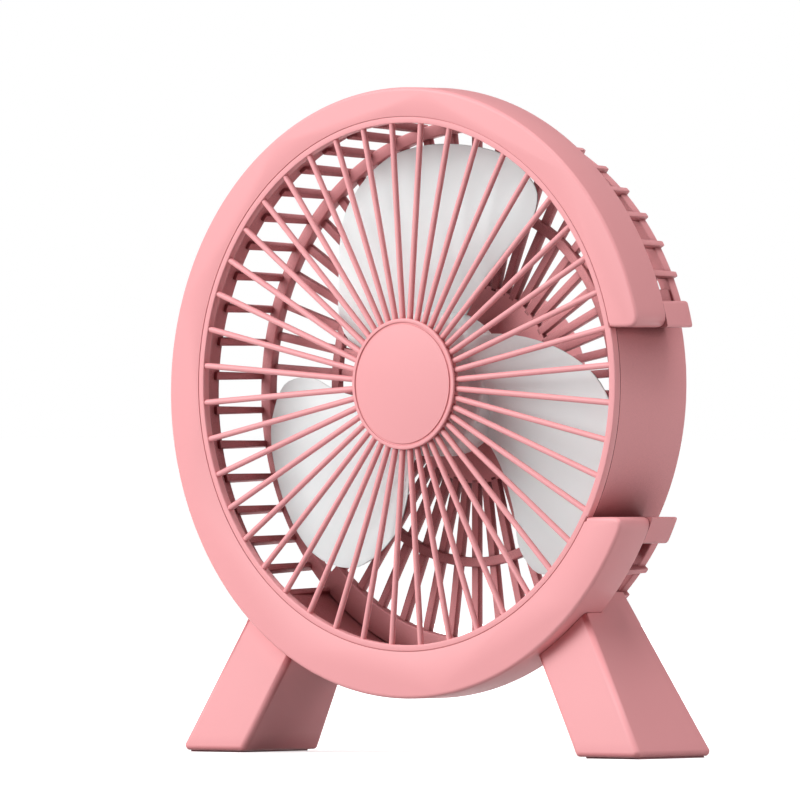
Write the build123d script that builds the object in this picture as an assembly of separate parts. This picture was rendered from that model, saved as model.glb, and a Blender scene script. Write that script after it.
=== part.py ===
from build123d import *
import os
from math import asin, cos, degrees, radians, sin, tan

# A small free-standing table fan. Millimetres, +Z up, the front faces -Y.
# Depth is measured back from the flat front face of the frame.
# Heights in the front view are measured from the fan axis.

# General clearances
OVERRUN = 2.0           # how far a cutting shape runs past what it cuts
WEDGE_STEP = 40.0       # degrees, widest step along the edge of a cutting wedge
FIT = 0.15              # between pieces that are assembled face to face
RUNNING = 0.03          # radial, between a shaft and its bush
SCREW_PLAY = 0.05       # radial, between a screw and its hole

# Whole object
RING_RADIUS = 95.0      # outer edge of the C-shaped frame
RING_DROP = 2.8         # the frame's circle is centred this far below the fan axis
TABLE_GAP = 17.6        # lowest point of the frame above the table
AXIS_HEIGHT = RING_RADIUS + RING_DROP + TABLE_GAP

# C-shaped frame
FRAME_FACE = 1.8        # thickness of the flat front face
FRAME_BAND = 2.0        # thickness of the outer band
FRAME_DEPTH = 14.5      # depth of the outer band
FACE_WIDTH = 11.8       # the ring's radius less that of the face's inner edge
FRAME_INNER = RING_RADIUS - FACE_WIDTH
GAP_TOP = 17.4          # upper end of the gap, above the axis
GAP_DROP = 41.0         # lower end of the gap, below the axis
FRAME_CORNER = 4.0      # rounded outer corners of the two ends
FRAME_EDGE = 1.2        # rounded front edge
BOSS_RADIUS = 2.2       # screw bosses inside the frame
BOSS_BACK = 10.8        # depth of the bosses' rear ends

# Front grille
RIM_SEAM = 0.4          # open seam between the rim and the frame's face
RIM_WIDTH = 1.7
RIM_OUTER = FRAME_INNER - RIM_SEAM
RIM_INNER = RIM_OUTER - RIM_WIDTH
RIM_DEPTH = 2.8
FLANGE_REACH = 2.6      # flange of the rim, trapped behind the frame's face
SPOKE_COUNT = 44
SPOKE_DIAMETER = 1.9
SPOKE_SUNK = 0.25       # the spokes' fronts lie this far behind the rim's face
HUB_PLATE_RADIUS = 19.4
HUB_PLATE_FRONT = 0.8
HUB_PLATE_BACK = 3.0
HUB_SOCKET_RADIUS = 6.0

# Hub cap
CAP_RADIUS = 20.4
CAP_PROUD = 0.7         # its face stands in front of the frame's face
CAP_GROOVE_RADIUS = 18.9
CAP_GROOVE_WIDTH = 0.7
CAP_GROOVE_DEPTH = 0.35
CAP_EDGE = 0.4
CAP_SPIGOT_DEPTH = 2.4

# Rear guard
COLLAR_INSET = 6.8      # outside of the collar from the ring's outer edge, on the same centre
COLLAR_RADIUS = RING_RADIUS - COLLAR_INSET
COLLAR_WALL = 1.4
COLLAR_BACK = 14.6
LEDGE_DEPTH = 1.6       # ledge in the collar that backs the grille's rim
RIB_COUNT = 50
RIB_WIDTH = 2.6         # side ribs where they leave the collar
RIB_END_WIDTH = 1.8     # side ribs at their rear ends
BAR_WIDTH = 2.6         # ribs across the back
RIB_THICKNESS = 2.6
RIB_LEAN = 1.6          # the side ribs lean in by this much towards the back
RIB_CORNER = 1.2
GUARD_BACK = 37.6       # depth of the rear face of the back ribs
HOOP_INSET = 2.8        # rear hoop from the outside of the collar
HOOP_WIDTH = 3.9
HOOP_OUTER = COLLAR_RADIUS - HOOP_INSET
HOOP_INNER = HOOP_OUTER - HOOP_WIDTH
HOOP_FRONT = 33.4
HOOP_BACK = 37.0
MID_HOOP_RADIUS = 55.6
MID_HOOP_WIDTH = 3.0
MID_HOOP_FRONT = 34.0
MID_HOOP_DEPTH = 2.6
DRUM_LAP = 0.3          # the smooth wall in the frame's gap stands this far outside the face's inner edge
DRUM_RADIUS = FRAME_INNER + DRUM_LAP
DRUM_WALL = 2.0
DRUM_BACK = 36.2
DRUM_EDGE = 1.8
BLOCK_HEIGHT = 8.2      # solid blocks behind the two ends of the frame
BLOCK_BACK = 27.5
BLOCK_EDGE = 1.0
LEG_WALL_START = 50.0   # solid wall at each leg root, degrees below the horizontal
LEG_WALL_END = 73.0
DISC_RADIUS = 31.0
LUG_WIDTH = 6.0
LUG_THICKNESS = 2.6
FRAME_SCREW_ANGLES = (45, 90, 135, 180, 270)

# Motor
SHAFT_RADIUS = 1.0
BUSH_RADIUS = 3.0
BUSH_LENGTH = 4.0
CAN_RADIUS = 13.8
CAN_WALL = 1.0
CAN_LENGTH = 13.0
END_CAP_DEPTH = 1.6
END_SPIGOT_DEPTH = 1.2
MAGNET_WALL = 2.2
MAGNET_SPAN = 124.0     # degrees
AIR_GAP = 0.6
POLE_COUNT = 3
POLE_ARM = 3.4
POLE_SHOE = 1.8
POLE_SPAN = 98.0        # degrees
COIL_WIDTH = 7.6
COIL_OVERHANG = 0.9
COIL_INNER = 3.4
COMMUTATOR_RADIUS = 2.6
COMMUTATOR_LENGTH = 1.6
BRUSH_WIDTH = 2.0
BRUSH_LENGTH = 3.4
BRUSH_GAP = 0.3

# Motor cup in the rear guard
CUP_WALL = 2.0
CUP_PLATE = 2.0
CUP_FRONT = 24.5
MOTOR_SCREW_SPREAD = 16.0

# Impeller
HUB_RADIUS = 22.5
HUB_WALL = 2.0
HUB_FRONT = 11.0
HUB_BACK = 23.4
HUB_DOME = 1.6
HUB_BOSS_RADIUS = 4.2
HUB_BOSS_BACK = 22.4
BLADE_COUNT = 3
BLADE_FIRST = 100.0     # degrees, middle of the first blade, seen from the front
TIP_GAP = 6.3           # between the blade tips and the rim, seen from the front
BLADE_TIP = RIM_INNER - TIP_GAP
BLADE_THICKNESS = 1.8
BLADE_MIDDLE = 16.5     # depth of the blade's middle
BLADE_REACH = 64.0      # half width of the twisted slab that the petal is cut from
BLADE_ROOT_SHARE = 0.1  # share of that half width kept at the axis
# radius share, pitch in degrees, camber share of the slab's half width
BLADE_SECTION_SHARES = ((0.22, 30.0, 0.055), (0.5, 13.5, 0.06), (0.78, 9.5, 0.055), (1.06, 7.5, 0.05))
# petal outline: radius share and angle in degrees from the blade's middle
PETAL_SHARES = (
    (0.45, -32.2), (0.61, -37.3), (0.79, -42.2), (0.905, -40.0), (0.975, -32.0), (1.0, -15.0),
    (0.97, 9.0), (0.87, 21.7), (0.675, 34.0), (0.43, 48.5),
)
PETAL_ROOT_SHARES = ((0.2, 60.0), (0.2, -26.0))

# Rear cover, with the electronics inside
COVER_RADIUS = 29.5
COVER_WALL = 2.0
COVER_BACK = 56.0
COVER_EDGE = 3.0
POST_CIRCLE = 23.4
POST_RADIUS = 2.6
POST_BACK = 42.0
POST_ANGLES = (90, 210, 330)
TRAY_RADIUS = 26.4
TRAY_PLATE = 1.2
TRAY_LIP = 2.0
CELL_WIDTH = 34.0
CELL_HEIGHT = 26.0
CELL_DEPTH = 3.8
CELL_EDGE = 1.2
BOARD_RADIUS = 26.0
BOARD_FRONT = 47.4
BOARD_THICKNESS = 1.6
USB_WIDTH = 8.9
USB_HEIGHT = 3.2
USB_LENGTH = 7.4
USB_WALL = 0.4
USB_TONGUE_WIDTH = 6.7
USB_TONGUE_HEIGHT = 0.7
SWITCH_SIDE = 6.0
SWITCH_DEPTH = 2.6
SWITCH_PLUNGER_RADIUS = 1.7
SWITCH_PLUNGER_DEPTH = 0.6
BUTTON_HEIGHT = 9.0     # centre of the button above the axis
BUTTON_RADIUS = 4.6
BUTTON_PROUD = 0.9
BUTTON_PLAY = 0.25      # radial, between the button and its hole
BUTTON_FLANGE = 0.9
BUTTON_FLANGE_DEPTH = 0.8
BUTTON_GAP = 0.1        # between the flange and the cover
BUTTON_EDGE = 0.4
LENS_OFFSET = 11.0      # sideways from the button
LENS_RADIUS = 1.5
LENS_FLANGE = 0.7
LENS_FLANGE_DEPTH = 0.7

# Screws
FRAME_SCREW_RADIUS = 1.0
FRAME_SCREW_LENGTH = 8.0
LEG_SCREW_RADIUS = 1.2
LEG_SCREW_LENGTH = 12.0
MOTOR_SCREW_RADIUS = 1.0
MOTOR_SCREW_LENGTH = 3.0
COVER_SCREW_RADIUS = 1.1
COVER_SCREW_LENGTH = 16.4
HEAD_REACH_SHARE = 1.9  # head radius over shank radius
HEAD_HEIGHT_SHARE = 1.3  # head height over shank radius

# Legs
LEG_SPLAY = 29.5        # degrees from the vertical
LEG_FOOT_INSET = 15.58  # centre of a foot inside the ring's outer edge, seen from the front
LEG_FOOT_OFFSET = RING_RADIUS - LEG_FOOT_INSET
LEG_WIDTH = 25.6        # along X
LEG_FOOT_FRONT = 1.5    # depth of the foot's front edge
LEG_FOOT_BACK = 39.4
LEG_FRONT_FLARE = 5.7   # degrees, how the front leans forward towards the foot
LEG_BACK_FLARE = 9.6
LEG_WALL = 2.4
LEG_TOP = 60.0          # height that the leg's body reaches before it is cut to the drum
LEG_POCKET_TOP = 29.0
LEG_EDGE = 2.0
LEG_FOOT_EDGE = 1.4
LEG_PLUG_RADIUS = 3.2   # plugs on the drum that enter the leg
LEG_PLUG_REACH = 8.0
LEG_PLUG_DEPTHS = (19.0, 25.6)
FOOT_LIFT = 0.5         # the leg's plastic stands clear of the table by this much
PAD_HEIGHT = 3.0

# Derived places
SPOKE_DEPTH = SPOKE_DIAMETER / 2 + SPOKE_SUNK
MOTOR_FRONT = CUP_FRONT + CUP_PLATE
MOTOR_BACK = MOTOR_FRONT + CAN_LENGTH
BOARD_BACK = BOARD_FRONT + BOARD_THICKNESS
COVER_INSIDE = COVER_BACK - COVER_WALL
BUTTON_FRONT = COVER_INSIDE - BUTTON_GAP - BUTTON_FLANGE_DEPTH
REAR_END = COVER_BACK + BUTTON_PROUD
FRONT_Y = -(REAR_END - CAP_PROUD) / 2
MAGNET_OUTER = CAN_RADIUS - CAN_WALL - SCREW_PLAY
MAGNET_INNER = MAGNET_OUTER - MAGNET_WALL
CORE_RADIUS = MAGNET_INNER - AIR_GAP
INNER_BACK = MOTOR_BACK - END_SPIGOT_DEPTH
BRUSH_FRONT = INNER_BACK - BRUSH_WIDTH
CORE_FRONT = MOTOR_FRONT + CAN_WALL + BUSH_LENGTH / 2 + COIL_OVERHANG + FIT
CORE_BACK = BRUSH_FRONT - COIL_OVERHANG - FIT
FAR = 2 * RING_RADIUS
FAN_AXIS = Axis((0, 0, AXIS_HEIGHT), (0, 1, 0))
DROPPED = Pos(0, -RING_DROP)


def front_plane(depth):
    """Front view at a depth: x right, y up, centred on the fan axis."""
    return Plane(origin=(0, FRONT_Y + depth, AXIS_HEIGHT), x_dir=(1, 0, 0), z_dir=(0, -1, 0))


def slab(sketch, front, back):
    """A front-view outline given thickness between two depths."""
    return extrude(front_plane(back) * sketch, amount=back - front)


def turned(*points):
    """A solid of revolution about the fan axis from (radius, depth) points."""
    profile = make_face(Polyline(*points, close=True))
    side = Plane(origin=(0, FRONT_Y, AXIS_HEIGHT), x_dir=(1, 0, 0), z_dir=(0, 0, 1))
    return revolve(side * profile, axis=FAN_AXIS)


def ring(inner, outer):
    return Circle(outer) - Circle(inner)


def disc(radius, front, back, x=0, z=0):
    return slab(Pos(x, z) * Circle(radius), front, back)


def polar(radius, angle):
    return (radius * cos(radians(angle)), radius * sin(radians(angle)))


def sector(start, end):
    """A wedge of the front view, from one angle to another."""
    steps = max(2, int((end - start) // WEDGE_STEP) + 2)
    rim = [polar(FAR, start + (end - start) * i / (steps - 1)) for i in range(steps)]
    return make_face(Polyline((0, 0), *rim, close=True))


def gap_strip(grow=0.0):
    """The horizontal strip on the right where the frame is open."""
    height = GAP_TOP + GAP_DROP + 2 * grow
    return Pos(FAR / 2, (GAP_TOP - GAP_DROP) / 2) * Rectangle(FAR, height)


def screw(radius, length, seat):
    """A pan-head screw on a plane: its head stands up from the seat, its shank goes down."""
    head_radius = radius * HEAD_REACH_SHARE
    head_height = radius * HEAD_HEIGHT_SHARE
    head = extrude(seat * Circle(head_radius), amount=head_height)
    head = chamfer(head.edges().group_by(lambda e: seat.to_local_coords(e.center()).Z)[-1], head_height / 4)
    return head + extrude(seat * Circle(radius), amount=-length)


def drill(radius, depth, seat):
    return extrude(seat * Circle(radius), amount=-depth) + extrude(seat * Circle(radius), amount=OVERRUN)


def back_plane(depth, x, z):
    """A seat that faces the back, for screws driven from behind."""
    return Plane(origin=(x, FRONT_Y + depth, AXIS_HEIGHT + z), x_dir=(-1, 0, 0), z_dir=(0, 1, 0))


# Screw places in the front view
BOSS_CIRCLE = RING_RADIUS - FRAME_BAND - BOSS_RADIUS - FIT
FRAME_SCREW_PLACES = [(x, z - RING_DROP) for x, z in (polar(BOSS_CIRCLE, a) for a in FRAME_SCREW_ANGLES)]
POST_PLACES = [polar(POST_CIRCLE, a) for a in POST_ANGLES]
MOTOR_SCREW_PLACES = [(side * MOTOR_SCREW_SPREAD / 2, 0) for side in (-1, 1)]


def c_frame():
    """Flat-faced C with an outer band, end walls and screw bosses, hollow behind."""
    outline = DROPPED * Circle(RING_RADIUS) - Circle(FRAME_INNER) - gap_strip()
    ends = outline.vertices().filter_by(lambda v: v.X > FRAME_INNER).sort_by(Axis.X)
    outline = fillet(ends, FRAME_CORNER)
    body = slab(outline, 0, FRAME_DEPTH)
    front = body.faces().sort_by(Axis.Y)[0]
    soft = [e for e in front.edges() if e.geom_type != GeomType.CIRCLE or abs(e.radius - FRAME_INNER) > FIT]
    body = fillet(soft, FRAME_EDGE)
    pocket = DROPPED * Circle(RING_RADIUS - FRAME_BAND) - gap_strip(FRAME_BAND)
    body -= slab(pocket, FRAME_FACE, FRAME_DEPTH + OVERRUN)
    body -= disc(DRUM_RADIUS + FIT, FRAME_FACE, FRAME_DEPTH + OVERRUN)
    for x, z in FRAME_SCREW_PLACES:
        body += disc(BOSS_RADIUS, FRAME_FACE / 2, BOSS_BACK, x, z)
        seat = back_plane(BOSS_BACK, x, z)
        body -= drill(FRAME_SCREW_RADIUS + SCREW_PLAY, FRAME_SCREW_LENGTH - LUG_THICKNESS + FIT, seat)
    return body


def front_grille():
    """Rim with a trapped flange, straight round spokes and the hub plate."""
    frame_start = degrees(asin((GAP_TOP + FRAME_BAND + OVERRUN) / FRAME_INNER))
    frame_end = 360 - degrees(asin((GAP_DROP + FRAME_BAND + OVERRUN) / FRAME_INNER))
    flange = ring(RIM_INNER, RIM_OUTER + FLANGE_REACH) & sector_about(frame_start, frame_end)
    flange = flange & DROPPED * Circle(COLLAR_RADIUS - COLLAR_WALL - FIT)
    gap_rim = ring(RIM_INNER, DRUM_RADIUS) & gap_strip(-FIT)
    body = slab(ring(RIM_INNER, RIM_OUTER), 0, RIM_DEPTH)
    body += slab(flange, FRAME_FACE + FIT / 2, RIM_DEPTH)
    body += slab(gap_rim, 0, RIM_DEPTH)
    body += disc(HUB_PLATE_RADIUS, HUB_PLATE_FRONT, HUB_PLATE_BACK)
    end = (RIM_INNER + RIM_OUTER) / 2
    start = HUB_PLATE_RADIUS - SPOKE_DIAMETER
    spokes = []
    for i in range(SPOKE_COUNT):
        angle = (i + 0.5) * 360 / SPOKE_COUNT
        x, z = polar(start, angle)
        along = (cos(radians(angle)), 0, sin(radians(angle)))
        foot = Plane(origin=(x, FRONT_Y + SPOKE_DEPTH, AXIS_HEIGHT + z), z_dir=along)
        spokes.append(extrude(foot * Circle(SPOKE_DIAMETER / 2), amount=end - start))
    body += spokes
    return body - disc(HUB_SOCKET_RADIUS, -OVERRUN, HUB_PLATE_BACK + OVERRUN)


def sector_about(start, end):
    """Sectors wider than a half turn, made as the whole less the missing wedge."""
    return Circle(FAR) - sector(end - 360, start)


def hub_cap():
    """Disc with a raised border, a groove inside it and a spigot into the grille."""
    back = SPOKE_SUNK - FIT
    groove_floor = -CAP_PROUD + CAP_GROOVE_DEPTH
    groove_out = CAP_GROOVE_RADIUS + CAP_GROOVE_WIDTH / 2
    groove_in = CAP_GROOVE_RADIUS - CAP_GROOVE_WIDTH / 2
    spigot = HUB_SOCKET_RADIUS - FIT
    return turned(
        (0, -CAP_PROUD), (groove_in, -CAP_PROUD), (groove_in, groove_floor), (groove_out, groove_floor),
        (groove_out, -CAP_PROUD), (CAP_RADIUS - CAP_EDGE, -CAP_PROUD), (CAP_RADIUS, -CAP_PROUD + CAP_EDGE),
        (CAP_RADIUS, back), (spigot, back), (spigot, CAP_SPIGOT_DEPTH), (0, CAP_SPIGOT_DEPTH),
    )


def side_rib():
    """One rib of the slotted side, pointing along +X. It narrows and leans in towards the back."""
    front = COLLAR_BACK - RIB_THICKNESS
    middle = COLLAR_RADIUS - RIB_THICKNESS / 2
    near = front_plane(front) * Pos(middle, -RING_DROP) * Rectangle(RIB_THICKNESS, RIB_WIDTH)
    far = Rectangle(RIB_THICKNESS, RIB_END_WIDTH)
    far = front_plane(GUARD_BACK) * Pos(middle - RIB_LEAN, -RING_DROP) * far
    rib = loft([near, far], ruled=True)
    corner = rib.faces().sort_by(Axis.Y)[-1].edges().sort_by(Axis.X)[-1]
    return chamfer(corner, RIB_CORNER)


def back_grid(gap):
    """Ribs across the back, which point at the fan axis and end on the rear hoop."""
    grid = Circle(DISC_RADIUS)
    for i in range(RIB_COUNT):
        bar = Rectangle(RING_RADIUS - DISC_RADIUS + RIB_WIDTH, BAR_WIDTH)
        grid += Rot(0, 0, (i + 0.5) * 360 / RIB_COUNT) * Pos((DISC_RADIUS + RING_RADIUS) / 2, 0) * bar
    reach = DROPPED * Circle((HOOP_INNER + HOOP_OUTER) / 2) - (gap - Circle(DRUM_RADIUS - DRUM_WALL))
    return grid & reach


def leg_axis(side):
    """Unit direction up a leg, in the front view."""
    return (-side * sin(radians(LEG_SPLAY)), cos(radians(LEG_SPLAY)))


def leg_plug_plane(side, depth):
    """Seat at the outer end of a plug on the drum, facing down the leg towards the foot."""
    ux, uz = leg_axis(side)
    reach = COLLAR_RADIUS + LEG_PLUG_REACH
    # where the leg's middle line crosses the circle through the plugs' ends
    x0 = side * LEG_FOOT_OFFSET
    z0 = RING_DROP - AXIS_HEIGHT
    b = x0 * ux + z0 * uz
    c = x0 * x0 + z0 * z0 - reach * reach
    t = -b - (b * b - c) ** 0.5
    origin = (x0 + ux * t, FRONT_Y + depth, AXIS_HEIGHT - RING_DROP + z0 + uz * t)
    return Plane(origin=origin, x_dir=(0, 1, 0), z_dir=(-ux, 0, -uz))


def rear_guard():
    """Slotted basket: collar, ribs, hoops, smooth wall in the gap, motor cup and posts."""
    low = -degrees(asin((GAP_DROP + BLOCK_HEIGHT) / DRUM_RADIUS))
    high = degrees(asin((GAP_TOP + BLOCK_HEIGHT) / DRUM_RADIUS))
    collar_inner = COLLAR_RADIUS - COLLAR_WALL
    gap = sector(low, high)
    collar = DROPPED * ring(collar_inner, COLLAR_RADIUS) - gap
    body = slab(collar, FRAME_FACE + FIT / 2, COLLAR_BACK)
    ledge = DROPPED * Circle(COLLAR_RADIUS - COLLAR_WALL / 2) - Circle((RIM_INNER + RIM_OUTER) / 2) - gap
    body += slab(ledge, RIM_DEPTH + FIT / 2, RIM_DEPTH + LEDGE_DEPTH)
    # smooth wall behind the frame's gap
    wall = ring(DRUM_RADIUS - DRUM_WALL, DRUM_RADIUS) & sector(low - RIB_WIDTH, high + RIB_WIDTH)
    wall = slab(wall, RIM_DEPTH + FIT / 2, DRUM_BACK)
    body += fillet(wall.faces().sort_by(Axis.Y)[-1].edges().sort_by(Axis.X)[-1], DRUM_EDGE)
    # solid walls at the leg roots
    for start, end in ((-LEG_WALL_END, -LEG_WALL_START), (LEG_WALL_START - 180, LEG_WALL_END - 180)):
        root = ring(COLLAR_RADIUS - RIB_THICKNESS, COLLAR_RADIUS - RIB_LEAN / 2) & sector(start, end)
        body += slab(DROPPED * root, COLLAR_BACK - RIB_THICKNESS, HOOP_FRONT + RIB_THICKNESS)
    # hoops and the middle disc
    hoop = DROPPED * ring(HOOP_INNER, HOOP_OUTER) - (gap - Circle(DRUM_RADIUS - DRUM_WALL / 2))
    body += slab(hoop, HOOP_FRONT, HOOP_BACK)
    mid = ring(MID_HOOP_RADIUS - MID_HOOP_WIDTH / 2, MID_HOOP_RADIUS + MID_HOOP_WIDTH / 2)
    body += slab(mid, MID_HOOP_FRONT, MID_HOOP_FRONT + MID_HOOP_DEPTH)
    # solid blocks behind the ends of the frame
    band = DROPPED * Circle(RING_RADIUS) - Circle(DRUM_RADIUS - DRUM_WALL / 2)
    for bottom in (GAP_TOP, -GAP_DROP - BLOCK_HEIGHT):
        strip = Pos(FAR / 2, bottom + BLOCK_HEIGHT / 2) * Rectangle(FAR, BLOCK_HEIGHT)
        block = slab(band & strip, FRAME_DEPTH + FIT / 2, BLOCK_BACK)
        back_edges = block.faces().sort_by(Axis.Y)[-1].edges()
        block = fillet(back_edges.sort_by(Axis.X)[1:], BLOCK_EDGE)
        body += block
    # ribs along the side and across the back
    first = side_rib()
    middle_line = Axis((0, 0, AXIS_HEIGHT - RING_DROP), (0, 1, 0))
    ribs = []
    for i in range(RIB_COUNT):
        angle = (i + 0.5) * 360 / RIB_COUNT
        below = angle - 360
        in_gap = angle < high or below > low
        in_leg = LEG_WALL_START < -below < LEG_WALL_END or LEG_WALL_START < angle - 180 < LEG_WALL_END
        if not in_gap and not in_leg:
            ribs.append(first.rotate(middle_line, -angle))
    body += ribs
    body += slab(back_grid(gap), GUARD_BACK - RIB_THICKNESS, GUARD_BACK)
    # motor cup and posts
    cup_inner = CAN_RADIUS + FIT
    body += disc(cup_inner + CUP_WALL, CUP_FRONT, GUARD_BACK)
    for x, z in POST_PLACES:
        body += disc(POST_RADIUS, GUARD_BACK - RIB_THICKNESS, POST_BACK, x, z)
        seat = back_plane(POST_BACK, x, z)
        body -= drill(COVER_SCREW_RADIUS + SCREW_PLAY, POST_BACK - GUARD_BACK + RIB_THICKNESS / 2, seat)
    body -= disc(cup_inner, MOTOR_FRONT, GUARD_BACK + OVERRUN)
    body -= disc(BUSH_RADIUS + FIT, CUP_FRONT - OVERRUN, MOTOR_FRONT + OVERRUN)
    for x, z in MOTOR_SCREW_PLACES:
        body -= disc(MOTOR_SCREW_RADIUS + SCREW_PLAY, CUP_FRONT - OVERRUN, MOTOR_FRONT + OVERRUN, x, z)
    # lugs for the frame's screws
    for angle, (x, z) in zip(FRAME_SCREW_ANGLES, FRAME_SCREW_PLACES):
        lug_outer = BOSS_CIRCLE + BOSS_RADIUS
        plate = Rot(0, 0, angle) * Pos((collar_inner + lug_outer) / 2, 0)
        plate = DROPPED * plate * Rectangle(lug_outer - collar_inner - COLLAR_WALL / 2, LUG_WIDTH)
        body += slab(plate, BOSS_BACK, BOSS_BACK + LUG_THICKNESS)
        seat = back_plane(BOSS_BACK + LUG_THICKNESS, x, z)
        body -= drill(FRAME_SCREW_RADIUS + SCREW_PLAY, LUG_THICKNESS + FIT, seat)
    # plugs that enter the legs
    for side in (-1, 1):
        for depth in LEG_PLUG_DEPTHS:
            seat = leg_plug_plane(side, depth)
            body += extrude(seat * Circle(LEG_PLUG_RADIUS), amount=-LEG_PLUG_REACH - COLLAR_WALL / 2)
            body -= drill(LEG_SCREW_RADIUS + SCREW_PLAY, LEG_PLUG_REACH - FIT, seat)
    return body


def leg_body(side, bottom, top, inset):
    """A leg between two heights, moved in by an inset: its front view crossed with its side view."""
    half = LEG_WIDTH / 2 - inset
    low = side * (LEG_FOOT_OFFSET - bottom * tan(radians(LEG_SPLAY)))
    high = side * (LEG_FOOT_OFFSET - top * tan(radians(LEG_SPLAY)))
    across = [(low - half, bottom), (low + half, bottom), (high + half, top), (high - half, top)]
    fronts = [LEG_FOOT_FRONT + h * tan(radians(LEG_FRONT_FLARE)) + inset for h in (bottom, top)]
    backs = [LEG_FOOT_BACK - h * tan(radians(LEG_BACK_FLARE)) - inset for h in (bottom, top)]
    along = [(fronts[0], bottom), (backs[0], bottom), (backs[1], top), (fronts[1], top)]
    front_view = Plane(origin=(0, FRONT_Y, 0), x_dir=(1, 0, 0), z_dir=(0, -1, 0))
    side_view = Plane(origin=(0, FRONT_Y, 0), x_dir=(0, 1, 0), z_dir=(1, 0, 0))
    crossing = extrude(front_view * make_face(Polyline(*across, close=True)), amount=FAR, both=True)
    return crossing & extrude(side_view * make_face(Polyline(*along, close=True)), amount=FAR, both=True)


def leg(side):
    """Splayed box-section leg, cut to the frame's band and the drum, hollow from below."""
    body = leg_body(side, FOOT_LIFT, LEG_TOP, 0)
    long_edges = body.edges().filter_by(lambda e: abs((e @ 1 - e @ 0).Z) > LEG_WALL)
    body = fillet(long_edges, LEG_EDGE)
    body = fillet(body.faces().sort_by(Axis.Z)[0].edges(), LEG_FOOT_EDGE)
    body -= slab(DROPPED * Circle(RING_RADIUS + FIT), -FAR, FRAME_DEPTH + FIT)
    body -= slab(DROPPED * Circle(COLLAR_RADIUS + FIT), -FAR, FAR)
    body = body.solids().sort_by(Axis.Z)[0]
    body -= leg_body(side, -OVERRUN, LEG_POCKET_TOP, LEG_WALL)
    for depth in LEG_PLUG_DEPTHS:
        seat = leg_plug_plane(side, depth)
        deep = LEG_PLUG_REACH + OVERRUN
        socket = extrude(seat * Circle(LEG_PLUG_RADIUS + FIT), amount=-deep)
        body -= socket + extrude(seat * Circle(LEG_PLUG_RADIUS + FIT), amount=FIT)
        body -= extrude(seat * Circle(LEG_SCREW_RADIUS + SCREW_PLAY), amount=FAR / 2)
    return body


def leg_screw_seat(side, depth):
    """Where a leg screw's head rests, on the roof of the leg's pocket."""
    end = leg_plug_plane(side, depth)
    splay = radians(LEG_SPLAY)
    roof = (end.origin.Z - LEG_POCKET_TOP) / cos(splay) + LEG_PLUG_RADIUS * tan(splay)
    return end.offset(roof)


def leg_screws():
    seats = [leg_screw_seat(side, depth) for side in (-1, 1) for depth in LEG_PLUG_DEPTHS]
    return [screw(LEG_SCREW_RADIUS, LEG_SCREW_LENGTH, seat) for seat in seats]


def foot_pad(side):
    """Rubber pad that fills the mouth of the leg's pocket and meets the table."""
    return leg_body(side, 0, PAD_HEIGHT, LEG_WALL + FIT)


def frame_screws():
    back = BOSS_BACK + LUG_THICKNESS
    seats = [back_plane(back, x, z) for x, z in FRAME_SCREW_PLACES]
    return [screw(FRAME_SCREW_RADIUS, FRAME_SCREW_LENGTH, seat) for seat in seats]


def blade_section(radius, pitch, camber):
    """Curved strip across a blade at one radius. Its upper side leans forward."""
    up = (0, -sin(radians(pitch)), cos(radians(pitch)))
    plane = Plane(origin=(radius, FRONT_Y + BLADE_MIDDLE, AXIS_HEIGHT), x_dir=up, z_dir=(1, 0, 0))
    half = BLADE_REACH * min(1, radius / BLADE_TIP + BLADE_ROOT_SHARE)
    rise = -half * camber
    thin = BLADE_THICKNESS
    near = ThreePointArc((-half, 0), (0, rise), (half, 0))
    far = ThreePointArc((half, thin), (0, rise + thin), (-half, thin))
    strip = make_face(near + Line(near @ 1, far @ 0) + far + Line(far @ 1, near @ 0))
    return plane * strip


def blade():
    """A twisted, cambered slab cut to a broad petal."""
    sections = [blade_section(BLADE_TIP * r, pitch, camber) for r, pitch, camber in BLADE_SECTION_SHARES]
    edge = [polar(BLADE_TIP * r, a) for r, a in PETAL_SHARES]
    root = [polar(BLADE_TIP * r, a) for r, a in PETAL_ROOT_SHARES]
    outer = Spline(*edge)
    petal = make_face(outer + Polyline(edge[-1], *root, edge[0]))
    return loft(sections) & slab(petal, -FAR, FAR)


def impeller():
    """Cup-shaped hub with a shaft boss and broad blades."""
    inside = HUB_RADIUS - HUB_WALL
    hub = turned(
        (0, HUB_FRONT), (HUB_RADIUS - HUB_DOME, HUB_FRONT), (HUB_RADIUS, HUB_FRONT + HUB_DOME),
        (HUB_RADIUS, HUB_BACK), (inside, HUB_BACK), (inside, HUB_FRONT + HUB_WALL),
        (HUB_BOSS_RADIUS, HUB_FRONT + HUB_WALL), (HUB_BOSS_RADIUS, HUB_BOSS_BACK), (0, HUB_BOSS_BACK),
    )
    first = blade() - disc(inside + HUB_WALL / 2, -FAR, FAR)
    turn = 360 / BLADE_COUNT
    hub += [first.rotate(FAN_AXIS, -BLADE_FIRST - i * turn) for i in range(BLADE_COUNT)]
    return hub - disc(SHAFT_RADIUS + SCREW_PLAY, HUB_FRONT + HUB_WALL, FAR)


def motor_shaft():
    return disc(SHAFT_RADIUS, HUB_FRONT + HUB_WALL + FIT, MOTOR_BACK + END_CAP_DEPTH - FIT)


def motor_can():
    """Drawn steel can with the front bush's hole and tapped screw holes."""
    body = disc(CAN_RADIUS, MOTOR_FRONT, MOTOR_BACK)
    body -= disc(CAN_RADIUS - CAN_WALL, MOTOR_FRONT + CAN_WALL, MOTOR_BACK + OVERRUN)
    body -= disc(BUSH_RADIUS + SCREW_PLAY, MOTOR_FRONT - OVERRUN, MOTOR_BACK)
    for x, z in MOTOR_SCREW_PLACES:
        body -= disc(MOTOR_SCREW_RADIUS + SCREW_PLAY, MOTOR_FRONT - OVERRUN, MOTOR_BACK, x, z)
    return body


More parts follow.
